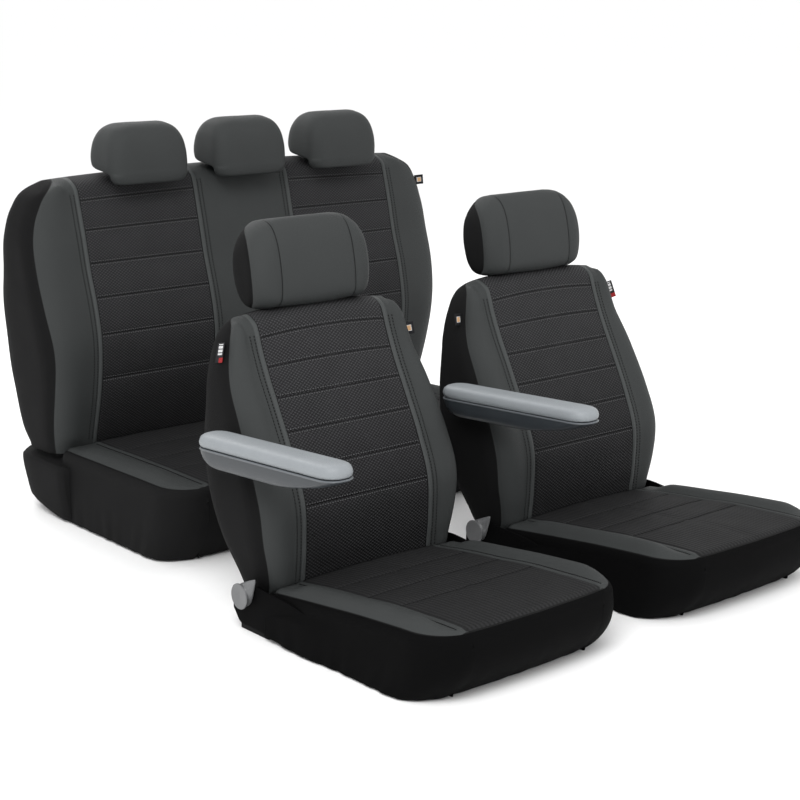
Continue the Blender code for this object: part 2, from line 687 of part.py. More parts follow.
def build_armrest(prefix, pivot, sizes):
    """Soft top and hard underside, turning on the bolt in the back's right-hand side."""
    at = Vector((0, sizes["arm_y"] - RECLINER_Y, ARMREST_HEIGHT - RECLINER_HEIGHT))
    axis = empty(f"{prefix}_armrest_axis", at, pivot, turn=-ARMREST_RISE)
    half, tail = ARMREST_WIDTH / 2, ARMREST_TAIL
    nose = ARMREST_LENGTH - tail
    crease = 0.016
    pad_rows = (
        (crease + GAP, half - 0.003, tail - 0.003, nose - 0.003),
        (crease + 0.35 * ARMREST_PAD, half, tail, nose),
        (crease + 0.75 * ARMREST_PAD, half - 0.004, tail - 0.005, nose - 0.005),
        (crease + ARMREST_PAD, half - 0.016, tail - 0.018, nose - 0.018),
    )
    shell_rows = (
        (crease - ARMREST_SHELL, half - 0.017, tail - 0.022, 0.60 * nose),
        (crease - 0.80 * ARMREST_SHELL, half - 0.008, tail - 0.010, 0.80 * nose),
        (crease - 0.45 * ARMREST_SHELL, half - 0.002, tail - 0.003, 0.94 * nose),
        (crease - 0.08 * ARMREST_SHELL, half, tail, nose),
        (crease, half - 0.002, tail - 0.002, nose - 0.002),
    )
    pad = lofted(f"{prefix}_armrest_pad", armrest_rings(pad_rows), "grey_vinyl")
    shell = lofted(f"{prefix}_armrest_shell", armrest_rings(shell_rows), "grey_plastic")
    middle = -sizes["arm_inner"] - half
    for piece in (pad, shell):
        piece.data.transform(Matrix.Translation((middle, 0, 0)))
    bolt_end = -sizes["arm_inner"] - 0.6 * ARMREST_WIDTH - GAP
    cut(shell, rod("bore", (0, 0, 0), (bolt_end, 0, 0), BOLT_RADIUS + RUN))
    for piece in (pad, shell):
        hang_local(piece, axis)


def build_tag(name, pivot, seat, back, side, height, size, lying=False):
    """A cloth tag in a side seam of a back: it stands out sideways, or lies back along the side."""
    sections, half, bottom, top = back
    width, tall = size
    loops = []
    for z in (height - tall / 2, height + tall / 2):
        wide, front, rear = at_height(sections, half, bottom, top, z)
        y = front + TAG_SETBACK
        out, along = (TAG_THICKNESS, width) if lying else (width, TAG_THICKNESS)
        inner = wide + 2 * GAP
        corners = ((inner, y), (inner + out, y), (inner + out, y + along), (inner, y + along))
        loops.append([Vector((side * x, y, z)) for x, y in corners])
    hang(lofted(name, loops, "tag_cloth"), pivot, seat)


def build_front_seat(prefix, place, airbag_side):
    sizes = front_sizes()
    seat = empty(f"{prefix}_seat", place)
    build_cushion(prefix, seat, sizes)
    build_recliner(prefix, seat, sizes)
    pivot, guide_top, up = build_back(prefix, seat, sizes)
    build_headrest(prefix, pivot, seat, guide_top, up)
    build_armrest(prefix, pivot, sizes)
    back = (BACK_SECTIONS, sizes["back_half"], sizes["bottom"], BACK_HEIGHT)
    height = sizes["bottom"] + TAG_SHARE * (BACK_HEIGHT - sizes["bottom"])
    lying = airbag_side < 0
    build_tag(f"{prefix}_airbag_tag", pivot, seat, back, airbag_side, height, AIRBAG_TAG, lying)
    build_tag(f"{prefix}_maker_tag", pivot, seat, back, -airbag_side, height, MAKER_TAG)


# ---------------------------------------------------------------- rear bench
def bench_cushion_rings(inset, drop):
    """The bench's cloth: a base that runs back under the seat back, and the cushion in front of it."""
    shelf, bite, top = BENCH_SHELF_HEIGHT, -0.012, BENCH_CUSHION_HEIGHT
    rows = (
        (0.030, 0.030, BENCH_SHELF_DEPTH - 0.030, 0.006),
        (0.008, 0.012, BENCH_SHELF_DEPTH - 0.010, 0.026),
        (0.000, 0.003, BENCH_SHELF_DEPTH, 0.60 * shelf),
        (0.002, 0.000, BENCH_SHELF_DEPTH - 0.006, shelf - 0.014 - drop),
        (0.004, 0.000, BENCH_SHELF_DEPTH - 0.024, shelf - 0.004 - drop),
        (0.006, 0.001, bite, shelf - drop),
        (0.010, 0.005, bite, top - 0.020 - drop),
        (0.018, 0.014, bite - 0.004, top - 0.006 - drop),
        (0.040, 0.036, bite - 0.020, top - drop),
    )
    return [bench_ring(side + inset, nose + inset, rear - inset, z) for side, nose, rear, z in rows]


def bench_ring(side, nose, rear, z):
    return ring(BENCH_CUSHION_WIDTH / 2 - side, nose - BENCH_CUSHION_DEPTH, rear, z, corner=0.08)


def build_bench_base(seat):
    half = BENCH_CUSHION_WIDTH / 2
    ribs = (-BENCH_BRACKET_X - 0.004, BENCH_BRACKET_X + 0.004)
    pan_front, pan_rear = 0.060 - BENCH_CUSHION_DEPTH, BENCH_SHELF_DEPTH - 0.045
    pan = tray("bench_seat_pan", half - 0.045, pan_front, pan_rear, BENCH_PAN_HEIGHT, ribs)
    shrink = COVER + GAP
    rings = bench_cushion_rings(shrink, shrink)[5:]
    bite = rings[0][0].y
    base = bench_ring(0.030 + shrink, 0.030 + shrink, bite, BENCH_PAN_HEIGHT + GAP)
    waist = bench_ring(shrink, 0.003 + shrink, bite, 0.60 * BENCH_SHELF_HEIGHT)
    foam = lofted("bench_cushion_foam", [base, waist, *rings], "foam")
    cover = hollow("bench_cushion_cover", bench_cushion_rings(0, 0), bench_cushion_rings(COVER, COVER), "charcoal_cloth")

    hub = (BENCH_HINGE_Y, BENCH_HINGE_HEIGHT)
    foot_y, knee_z = BENCH_HINGE_Y + 0.095, BENCH_HINGE_HEIGHT - 0.090
    outline = [
        (foot_y + 0.014, 0.010),
        (foot_y + 0.014, knee_z),
        *arc(hub, 0.018, 45, 225, 6),
        (foot_y - 0.014, knee_z - 0.012),
        (foot_y - 0.014, 0.010),
    ]
    for side in (-1, 1):
        low, high = sorted((side * BENCH_BRACKET_X, side * (BENCH_BRACKET_X + 0.008)))
        join(pan, plate("bracket", outline, low, high))
        cut(pan, rod("bore", (low - 0.01, *hub), (high + 0.01, *hub), SHAFT_RADIUS + RUN))
        slot_low = (low - CLEAR, foot_y - 0.020, BENCH_PAN_HEIGHT)
        cut(cover, box("slot", slot_low, (high + CLEAR, foot_y + 0.020, BENCH_SHELF_HEIGHT + 0.02)))
    for piece in (pan, foam, cover):
        hang(piece, seat, seat)
    reach = BENCH_BRACKET_X + 0.008 + 0.035
    hang(rod("bench_hinge_shaft", (-reach, *hub), (reach, *hub), SHAFT_RADIUS), seat, seat)


def build_bench_back(seat):
    half, bottom, top = BENCH_WIDTH / 2, BENCH_BACK_BOTTOM, BENCH_BACK_HEIGHT
    hub = (BENCH_HINGE_Y, BENCH_HINGE_HEIGHT)
    pivot = empty("bench_fold_axis", (0, *hub), seat)

    rows = []
    low, high = BENCH_HINGE_HEIGHT + 0.050, bottom + 0.93 * (top - bottom)
    for i in range(6):
        z = low + (high - low) * i / 5
        wide, front, rear = at_height(BENCH_SECTIONS, half, bottom, top, z)
        rows.append((wide - 0.060, front + PANEL_SHARE * (rear - front), z))
    loops = [
        [Vector((w * side, y + step * PANEL_SHEET / 2, z)) for side, step in ((1, -1), (1, 1), (-1, 1), (-1, -1))]
        for w, y, z in rows
    ]
    frame = lofted("bench_back_frame", loops, "painted_steel")
    panel_y, panel_z = rows[0][1], rows[0][2]
    outline = [*arc(hub, 0.020, 150, 330, 6), (panel_y + 0.004, panel_z + 0.012), (panel_y - 0.030, panel_z + 0.03)]
    for side in (-1, 1):
        start = BENCH_BRACKET_X + 0.008 + CLEAR
        inner, outer = sorted((side * start, side * (start + 0.008)))
        join(frame, plate("ear", outline, inner, outer))
        cut(frame, rod("bore", (inner - 0.01, *hub), (outer + 0.01, *hub), SHAFT_RADIUS + RUN))

    post_y = BENCH_SECTIONS[-1][2] + BENCH_POST_SETBACK
    bar_half = BENCH_HEADREST_SPACING + BENCH_POST_SPACING / 2 + 0.020
    bar_high = high - 0.010
    carrier_low = (-bar_half, post_y - POST_RADIUS - 0.006, bar_high - 0.024)
    carrier_high = (bar_half, panel_at(rows, bar_high), bar_high)
    join(frame, box("carrier", carrier_low, carrier_high))

    pad_rows = section_rows(
        BENCH_SECTIONS,
        half,
        bottom,
        top,
        inset=COVER + GAP,
        low=BENCH_HINGE_HEIGHT + 0.052,
        high=bottom + 0.95 * (top - bottom),
    )
    foam = lofted("bench_back_foam", pad_rings(pad_rows, FOAM_SHARE), "foam")
    cut_room(foam, carrier_low, carrier_high)
    cover = hollow("bench_back_cover", *cover_rings(BENCH_SECTIONS, half, bottom, top), "charcoal_cloth")
    for i in (-1, 0, 1):
        for side in (-1, 1):
            x = i * BENCH_HEADREST_SPACING + side * BENCH_POST_SPACING / 2
            for body in (frame, foam, cover):
                cut(body, rod("post_room", (x, post_y, top - 0.2), (x, post_y, top + 0.05), POST_RADIUS + 2 * RUN))
    for piece in (frame, foam, cover):
        hang(piece, pivot, seat)
    for i, hand in ((-1, "right"), (0, "middle"), (1, "left")):
        build_bench_headrest(f"bench_{hand}", pivot, i * BENCH_HEADREST_SPACING, post_y)
    back = (BENCH_SECTIONS, half, bottom, top)
    build_tag("bench_maker_tag", pivot, seat, back, 1, bottom + TAG_SHARE * (top - bottom), MAKER_TAG)


def bench_headrest_rings(post_y, inset):
    """A pad that stands on the top of the bench's back and hangs a lip over its front edge."""
    half, front = BENCH_HEADREST_WIDTH / 2, BENCH_HEADREST_FRONT
    lip, rear, top = 0.036, post_y + 0.030, BENCH_HEADREST_HEIGHT - BENCH_HEADREST_LIP
    shelf = 0.010
    rows = (
        (0.034, front + 0.016, lip - 0.016, -BENCH_HEADREST_LIP + inset),
        (0.012, front + 0.003, lip - 0.003, -BENCH_HEADREST_LIP + 0.012 + inset),
        (0.003, front, lip, shelf - 0.006 + inset),
        (0.001, front, rear - 0.010, shelf + inset),
        (0.000, front, rear, shelf + 0.014 + inset),
        (0.001, front + 0.002, rear - 0.002, 0.50 * top),
        (0.008, front + 0.010, rear - 0.008, 0.78 * top - inset),
        (0.022, front + 0.024, rear - 0.020, 0.93 * top - inset),
        (0.046, front + 0.042, rear - 0.040, top - inset),
    )
    return [ring(half - side - inset, a + inset, b - inset, z, corner=0.038) for side, a, b, z in rows]


def build_bench_headrest(prefix, pivot, x, post_y):
    at = Vector((x, -BENCH_HINGE_Y, BENCH_BACK_HEIGHT - BENCH_HINGE_HEIGHT))
    axis = empty(f"{prefix}_headrest_axis", at, pivot)
    cover = lofted(f"{prefix}_headrest_cover", bench_headrest_rings(post_y, 0), "charcoal_cloth")
    hollow_part = lofted("hollow", bench_headrest_rings(post_y, COVER), "foam")
    half, room = BENCH_POST_SPACING / 2, POST_RADIUS + 0.003
    opening = box("opening", (-half - room, post_y - room, -0.02), (half + room, post_y + room, 0.03))
    cut(cover, join(hollow_part, opening))
    foam = lofted(f"{prefix}_headrest_foam", bench_headrest_rings(post_y, COVER + GAP), "foam")
    cross = 0.55 * (BENCH_HEADREST_HEIGHT - BENCH_HEADREST_LIP)
    cut(foam, box("slot", (-half - room, post_y - room, -0.05), (half + room, post_y + room, cross + room)))
    posts = post_loop(f"{prefix}_headrest_posts", BENCH_POST_SPACING, 0.120, cross)
    posts.data.transform(Matrix.Translation((0, post_y, 0)))
    for piece in (cover, foam, posts):
        hang_local(piece, axis)


def rest_on_origin():
    """Moves the seats together so that the origin is the middle of the set's underside."""
    bpy.context.view_layer.update()
    low, high = Vector((1e9,) * 3), Vector((-1e9,) * 3)
    for thing in bpy.context.scene.objects:
        if thing.type == "MESH":
            for corner in thing.bound_box:
                at = thing.matrix_world @ Vector(corner)
                low, high = Vector(map(min, low, at)), Vector(map(max, high, at))
    shift = Vector((-(low.x + high.x) / 2, -(low.y + high.y) / 2, -low.z))
    for thing in bpy.context.scene.objects:
        if thing.parent is None:
            thing.location += shift
    bpy.context.view_layer.update()


def main():
    clear_scene()
    sizes = front_sizes()
    spacing = sizes["back_half"] + SEAT_GAP + sizes["arm_inner"] + ARMREST_WIDTH
    build_front_seat("front_right", (-spacing / 2, 0, 0), airbag_side=-1)
    build_front_seat("front_left", (spacing / 2, 0, 0), airbag_side=1)
    bench = empty("bench_seat", (BENCH_OFFSET, LEG_SPACE + BENCH_CUSHION_DEPTH, 0))
    build_bench_base(bench)
    build_bench_back(bench)
    rest_on_origin()


main()
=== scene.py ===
# %% [markdown]
# # A seat cover set on two bucket seats and a rear bench
# Covers are sewn from panels of cloth and pulled over foam. The CAD frame holds the sizes, the joints and the hard
# parts, and this file makes what the eye sees: padded panels, seams, trims, topstitching, skirts and tags.

# %% Load the frame
import math

import bmesh
import bpy
import numpy as np
from mathutils import Matrix, Vector


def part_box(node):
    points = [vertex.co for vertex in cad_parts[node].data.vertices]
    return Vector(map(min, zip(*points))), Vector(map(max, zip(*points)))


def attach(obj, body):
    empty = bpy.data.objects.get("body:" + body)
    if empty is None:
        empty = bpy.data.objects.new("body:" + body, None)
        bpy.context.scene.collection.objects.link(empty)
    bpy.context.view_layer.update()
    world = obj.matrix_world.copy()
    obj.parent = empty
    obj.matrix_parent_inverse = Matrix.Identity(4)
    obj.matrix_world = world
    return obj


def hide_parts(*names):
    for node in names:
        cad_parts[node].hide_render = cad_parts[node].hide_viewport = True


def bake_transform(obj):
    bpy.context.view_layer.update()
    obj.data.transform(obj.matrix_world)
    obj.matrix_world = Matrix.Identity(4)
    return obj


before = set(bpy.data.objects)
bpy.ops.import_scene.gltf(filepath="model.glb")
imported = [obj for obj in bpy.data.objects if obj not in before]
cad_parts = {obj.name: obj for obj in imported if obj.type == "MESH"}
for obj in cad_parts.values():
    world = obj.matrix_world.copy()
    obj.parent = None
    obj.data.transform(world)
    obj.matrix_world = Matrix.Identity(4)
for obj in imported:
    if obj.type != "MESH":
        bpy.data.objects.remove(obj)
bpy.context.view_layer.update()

FRONT_SEATS = ("front_right", "front_left")

# %% [markdown]
# Every seat has its own frame in the CAD: y = 0 is the bite line, where the back meets the cushion, and z = 0 is the
# floor. The cushion covers give away where those frames stand, because their front edge is a known depth away.

# %% Where each seat stands
CUSHION_DEPTH = 0.525
BENCH_CUSHION_DEPTH = 0.560


def seat_origin(node, depth):
    """The seat's origin: the middle of its cushion across, and the cushion's depth behind the front edge."""
    low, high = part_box(node)
    return np.array([(low.x + high.x) / 2, low.y + depth, 0.0])


origins = {seat: seat_origin(f"{seat}_cushion_cover", CUSHION_DEPTH) for seat in FRONT_SEATS}
origins["bench"] = seat_origin("bench_cushion_cover", BENCH_CUSHION_DEPTH)
print({seat: at.round(3).tolist() for seat, at in origins.items()})

# %% [markdown]
# A long lens keeps the three seats almost parallel in the picture, as catalogue pictures do. The camera stands in
# front of the right-hand seat, a little above head height of someone who sits, and looks down by about 14 degrees.

# %% Camera
TURN, TILT = math.radians(-40.39), math.radians(13.68)
camera_at = Vector(origins["front_right"]) + Vector((-2.379, -2.909, 1.420))
looking = Vector((-math.sin(TURN) * math.cos(TILT), math.cos(TURN) * math.cos(TILT), -math.sin(TILT)))
camera_data = bpy.data.cameras.new("camera")
camera_data.lens = 76.5
camera_data.sensor_width = 36
camera = bpy.data.objects.new("camera", camera_data)
camera.location = camera_at
camera.rotation_mode = "QUATERNION"
camera.rotation_quaternion = looking.to_track_quat("-Z", "Y")
bpy.context.scene.collection.objects.link(camera)
bpy.context.scene.camera = camera
print("camera at", [round(v, 3) for v in camera.location])

# %% [markdown]
# A studio for dark cloth: a pale floor that runs far back, a bright even sky, one broad soft light high on the left
# that models the shapes, and a weaker one on the right that keeps the black panels readable.

# %% Studio
FLOOR_HALF = 300.0
floor_data = bpy.data.meshes.new("floor")
corners = [(x * FLOOR_HALF, y * FLOOR_HALF, -0.001) for x, y in ((-1, -1), (1, -1), (1, 1), (-1, 1))]
floor_data.from_pydata(corners, [], [(0, 1, 2, 3)])
floor = bpy.data.objects.new("floor", floor_data)
bpy.context.scene.collection.objects.link(floor)

world = bpy.data.worlds.new("studio")
world.use_nodes = True
world.node_tree.nodes["Background"].inputs["Color"].default_value = (1.0, 1.0, 1.0, 1.0)
world.node_tree.nodes["Background"].inputs["Strength"].default_value = 1.06
bpy.context.scene.world = world
bpy.context.scene.view_settings.view_transform = "Standard"


def soft_light(name, place, aim, size, power):
    """A square area light at a place, turned towards a point."""
    data = bpy.data.lights.new(name, "AREA")
    data.size = size
    data.energy = power
    light = bpy.data.objects.new(name, data)
    light.location = place
    light.rotation_mode = "QUATERNION"
    light.rotation_quaternion = (Vector(aim) - Vector(place)).to_track_quat("-Z", "Y")
    bpy.context.scene.collection.objects.link(light)
    return light


soft_light("key", (-3.2, -2.6, 4.2), (0, 0, 0.4), 2.6, 190)
soft_light("fill", (3.6, -3.4, 2.2), (0, 0, 0.4), 3.0, 32)
soft_light("rim", (0.5, 4.0, 3.6), (0, 0.5, 0.6), 2.4, 70)

# %% [markdown]
# ## Shader arithmetic
# A pattern in cloth is a formula of two coordinates. `Wire` wraps a socket, so that a formula in Python adds its
# Math nodes, and `Finish` is a material whose other nodes all come from one method.

# %% Sockets that do arithmetic


class Wire:
    """An output socket that can stand in an expression on numbers."""

    def __init__(self, finish, socket):
        self.finish, self.socket = finish, socket

    def maths(self, operation, *others):
        values = {i: v for i, v in enumerate((self, *others))}
        return self.finish.node("ShaderNodeMath", values, operation=operation)

    def flipped(self, operation, other):
        return self.finish.node("ShaderNodeMath", {0: other, 1: self}, operation=operation)

    def __add__(self, other): return self.maths("ADD", other)
    def __sub__(self, other): return self.maths("SUBTRACT", other)
    def __mul__(self, other): return self.maths("MULTIPLY", other)
    def __pow__(self, other): return self.maths("POWER", other)
    def __radd__(self, other): return self.flipped("ADD", other)
    def __rsub__(self, other): return self.flipped("SUBTRACT", other)
    def __rmul__(self, other): return self.flipped("MULTIPLY", other)
    def __abs__(self): return self.maths("ABSOLUTE")
    def sine(self): return self.maths("SINE")


class Finish:
    """A material. node() adds any node: its settings first, then the values or wires of its inputs."""

    def __init__(self, name, roughness, metallic=0.0, gloss=0.5):
        self.material = bpy.data.materials.new(name)
        self.material.use_nodes = True
        self.tree = self.material.node_tree
        self.shader = self.tree.nodes["Principled BSDF"]
        self.shader.inputs["Roughness"].default_value = roughness
        self.shader.inputs["Metallic"].default_value = metallic
        self.shader.inputs["Specular IOR Level"].default_value = gloss

    def node(self, kind, values=None, output=0, **settings):
        made = self.tree.nodes.new(kind)
        for key, value in settings.items():
            setattr(made, key, value)
        for key, value in (values or {}).items():
            if isinstance(value, Wire):
                self.tree.links.new(value.socket, made.inputs[key])
            else:
                made.inputs[key].default_value = value
        return Wire(self, made.outputs[output])

    def cloth(self):
        """The piece's own map, in metres: across the cloth and along it."""
        where = self.node("ShaderNodeUVMap", uv_map="cloth")
        return (
            self.node("ShaderNodeSeparateXYZ", {0: where}, output=0),
            self.node("ShaderNodeSeparateXYZ", {0: where}, output=1),
            where,
        )

    def place(self):
        """Object coordinates, in metres."""
        return self.node("ShaderNodeTexCoord", output=3)

    def noise(self, where, scale, detail=3.0, roughness=0.5):
        values = {"Vector": where, "Scale": scale, "Detail": detail, "Roughness": roughness}
        return self.node("ShaderNodeTexNoise", values)

    def blend(self, share, one, other):
        """One colour where share is 0, the other where it is 1."""
        values = {0: share, 6: (*one, 1.0) if isinstance(one, tuple) else one,
                  7: (*other, 1.0) if isinstance(other, tuple) else other}
        return self.node("ShaderNodeMix", values, output=2, data_type="RGBA", clamp_factor=True)

    def feed(self, name, wire):
        self.tree.links.new(wire.socket, self.shader.inputs[name])

    def bump(self, height, distance, strength=1.0):
        values = {"Height": height, "Distance": distance, "Strength": strength}
        self.feed("Normal", self.node("ShaderNodeBump", values))

    def done(self, colour, roughness, height, distance, strength):
        """Colour, roughness and a bump of a height given in metres; the roughness can stay as it is."""
        self.feed("Base Color", colour)
        if roughness is not None:
            self.feed("Roughness", roughness)
        self.bump(height, distance, strength)
        return self.material


def scaled(colour, share):
    return tuple(min(1.0, c * share) for c in colour)


print("shader helpers ready")

# %% [markdown]
# ## Finishes
# The charcoal panels are a smooth knit with a fine twill that only shows close up, and with soft mottling where
# hands and light have flattened it. Its map is in metres, so the twill keeps one size on every panel.

# %% Charcoal and black knits


def knit(name, colour, roughness, twill=0.0012, mottle=0.16, gloss=0.12):
    """Colour = base x (1 + mottle x slow noise + speckle); height = a diagonal product of two sine waves."""
    made = Finish(name, roughness, gloss=gloss)
    across, along, where = made.cloth()
    turn = 2 * math.pi / twill
    weave = ((across + along) * turn).sine() * ((across - along) * turn).sine()
    slow = made.noise(where, 9.0, 4.0, 0.6)
    speckle = made.noise(where, 700.0, 1.0)
    tone = (slow - 0.5) * (2 * mottle) + (speckle - 0.5) * 0.30 + weave * 0.06 + 0.5
    dark, light = scaled(colour, 0.62), scaled(colour, 1.38)
    rough = (slow - 0.5) * 0.18 + roughness
    return made.done(made.blend(tone, dark, light), rough, weave * 0.5 + speckle * 0.7 + slow * 1.5, 0.0004, 0.55)


charcoal = knit("charcoal knit", (0.0325, 0.0350, 0.0350), 0.60, gloss=0.15)
charcoal_trim = knit("charcoal trim", (0.0455, 0.0492, 0.0492), 0.52, gloss=0.18)
black_side = knit("black side knit", (0.0066, 0.0066, 0.0068), 0.72, twill=0.0016, gloss=0.06)
# painted light: the front and bench skirts are one black knit, darker on the front seats as painted shade and lighter
# on the bench
skirt_cloth = knit("black skirt knit", (0.0024, 0.0024, 0.0025), 0.70, twill=0.0016, gloss=0.03)
bench_skirt = knit("black bench knit", (0.0080, 0.0080, 0.0082), 0.70, twill=0.0016, gloss=0.05)
print("knits:", charcoal.name, black_side.name, skirt_cloth.name)

# %% [markdown]
# The seat's middle is an embossed mesh: rows of small raised diamonds, each row shifted by half a step. Two
# slanting waves multiplied together give exactly that lattice: their product is high only where both are.

# %% Embossed mesh for the inserts
DIAMOND_WIDE, DIAMOND_TALL = 0.0112, 0.0084


def diamonds(made, across, along):
    """|sin(pi (u/w + v/t))| x |sin(pi (u/w - v/t))|, from 0 between the diamonds to 1 on top of each."""
    u, v = across * (math.pi / DIAMOND_WIDE), along * (math.pi / DIAMOND_TALL)
    return abs((u + v).sine()) * abs((u - v).sine())


def embossed(name, valley, crest, roughness, height, ribbed=0.0):
    """The lattice sets colour and height; a rib along the cloth can be mixed in, as on the cushions."""
    made = Finish(name, roughness, gloss=0.08)
    across, along, where = made.cloth()
    lattice = diamonds(made, across, along) ** 1.1
    if ribbed:
        rib = abs((across * (math.pi / DIAMOND_WIDE)).sine())
        lattice = lattice * (1 - ribbed) + rib * ribbed
    thread = made.noise(where, 1400.0, 2.0)
    slow = made.noise(where, 14.0, 3.0, 0.6)
    # painted shade: the colour darkens towards the cloth's lower end, and the valleys between the diamonds are
    # painted dark as shade in the hollows
    lower = made.node("ShaderNodeMapRange", {0: along, 1: 0.0, 2: 0.62, 3: 0.42, 4: 1.0})
    tone = lattice * lower + (1 - lattice) * (lower - 0.42) * 0.45 + (slow - 0.5) * 0.14 + (thread - 0.5) * 0.2
    rough = roughness + (1 - lattice) * 0.12
    return made.done(made.blend(tone, valley, crest), rough, lattice + thread * 0.08, height, 0.9)


# the valley colours are painted shade in the hollows between the diamonds
mesh_cloth = embossed("black embossed mesh", (0.0012, 0.0012, 0.0013), (0.0500, 0.0500, 0.0525), 0.58, 0.0022)
rib_cloth = embossed("black ribbed mesh", (0.0075, 0.0075, 0.0078), (0.0400, 0.0400, 0.0410), 0.64, 0.0012, 0.70)
print("embossed cloths:", mesh_cloth.name, rib_cloth.name)

# %% [markdown]
# Thread is rope in small: its strands wind round it. The seams between panels show as a thin dark line, because
# there the cloth turns inwards and no light reaches it.

# %% Threads, moulded plastics, vinyl and steel


def thread(name, colour):
    """Strands: a sine wave along a slanted direction of the object's own coordinates."""
    made = Finish(name, 0.6, gloss=0.15)
    where = made.place()
    strand = made.node("ShaderNodeTexWave", {"Vector": where, "Scale": 900.0, "Distortion": 1.0},
                       output=1, bands_direction="DIAGONAL")
    return made.done(made.blend(strand, scaled(colour, 0.6), colour), None, strand, 0.0002, 0.6)


def moulded(name, colour, roughness, grain=900.0, depth=0.00015, wear=0.25, gloss=0.5):
    """Fine spark-eroded grain, with slow change of gloss and slightly paler worn places."""
    made = Finish(name, roughness, gloss=gloss)
    where = made.place()
    fine = made.node("ShaderNodeTexVoronoi", {"Vector": where, "Scale": grain}, output=0)
    slow = made.noise(where, 18.0, 4.0, 0.6)
    tone = made.blend(slow, scaled(colour, 1 - wear / 2), scaled(colour, 1 + wear))
    return made.done(tone, roughness + (slow - 0.5) * 0.2, fine, depth, 0.5)


def leather(name, colour, roughness):
    """Pebbled vinyl: cells of two sizes, with painted shade in the creases between them."""
    made = Finish(name, roughness)
    where = made.place()
    cells = made.node("ShaderNodeTexVoronoi", {"Vector": where, "Scale": 520.0}, output=0, feature="DISTANCE_TO_EDGE")
    small = made.noise(where, 1300.0, 2.0)
    slow = made.noise(where, 16.0, 3.0, 0.6)
    crease = made.node("ShaderNodeMapRange", {0: cells, 1: 0.0, 2: 0.25, 3: 0.0, 4: 1.0})
    # painted shade: the colour darkens in the creases between the cells
    tone = crease * 0.35 + slow * 0.65
    shade = made.blend(tone, scaled(colour, 0.84), scaled(colour, 1.08))
    return made.done(shade, roughness + (1 - crease) * 0.15, crease + small * 0.3, 0.00018, 0.7)


def brushed(name, colour, roughness, metallic=1.0):
    """Drawn steel: noise stretched across the rod, which makes fine rings, and a slow stain."""
    made = Finish(name, roughness, metallic)
    stretched = made.node("ShaderNodeMapping", {"Vector": made.place(), "Scale": (60.0, 60.0, 1400.0)})
    lines = made.noise(stretched, 1.0, 2.0)
    slow = made.noise(made.place(), 12.0, 4.0, 0.65)
    tone = made.blend(slow, scaled(colour, 0.75), colour)
    return made.done(tone, roughness + (lines - 0.5) * 0.2, lines, 0.00004, 0.4)


seam_dark = thread("seam line", (0.0020, 0.0020, 0.0021))
stitch_dark = thread("dark topstitch", (0.0040, 0.0040, 0.0042))
stitch_grey = thread("grey topstitch", (0.1000, 0.1000, 0.1030))
pale_vinyl = leather("pale grey vinyl", (0.215, 0.232, 0.245), 0.40)
slate = moulded("slate plastic", (0.024, 0.028, 0.032), 0.36, gloss=0.35)
# the shell's lip takes a lighter copy of the slate: a painted highlight along its top rim
slate_lip_highlight = moulded("slate lip highlight", (0.085, 0.093, 0.101), 0.34, gloss=0.35)
lever_grey = moulded("lever plastic", (0.108, 0.110, 0.113), 0.34, wear=0.15)
black_plastic = moulded("black plastic", (0.006, 0.006, 0.006), 0.42)
steel = brushed("drawn steel", (0.42, 0.42, 0.43), 0.28)
painted = moulded("painted steel", (0.003, 0.003, 0.0032), 0.50, grain=300.0, depth=0.0001, gloss=0.08)
webbing = knit("webbing", (0.012, 0.012, 0.012), 0.7, twill=0.003)
print("hard finishes:", [m.name for m in (pale_vinyl, slate, lever_grey, steel, painted)])

# %% The floor's finish


def paper(name):
    """Matte backdrop paper: nearly white, with a very faint grain."""
    made = Finish(name, 0.9, gloss=0.1)
    grain = made.noise(made.place(), 30.0, 3.0)
    made.feed("Base Color", made.blend(grain, (0.93, 0.93, 0.93), (0.96, 0.96, 0.96)))
    return made.material


floor_data.materials.append(paper("backdrop"))

# %% [markdown]
# ## Surfaces from rows and columns
# A padded piece is a stack of level loops. Each loop is a rounded rectangle, walked from the middle of its front,
# and its columns are set out by length along the loop, so that a panel 36 cm wide stays 36 cm wide all the way up.

# %% Curves and loops


def curve(at, xs, ys):
    """A smooth curve through (xs, ys): on each stretch the cubic that has the neighbours' slopes at its ends."""
    xs, ys, at = (np.asarray(a, float) for a in (xs, ys, at))
    slopes = np.gradient(ys, xs)
    i = np.clip(np.searchsorted(xs, at) - 1, 0, len(xs) - 2)
    step = xs[i + 1] - xs[i]
    t = np.clip((at - xs[i]) / step, 0, 1)
    return (
        (2 * t**3 - 3 * t**2 + 1) * ys[i]
        + (t**3 - 2 * t**2 + t) * step * slopes[i]
        + (3 * t**2 - 2 * t**3) * ys[i + 1]
        + (t**3 - t**2) * step * slopes[i + 1]
    )


def ease(at, start, end):
    """0 before start, 1 after end, and 3t^2 - 2t^3 in between."""
    t = np.clip((np.asarray(at, float) - start) / (end - start), 0, 1)
    return t * t * (3 - 2 * t)


def bell(at, width):
    """exp(-(at/width)^2): 1 at the middle, fading over the width."""
    return np.exp(-((at / width) ** 2))


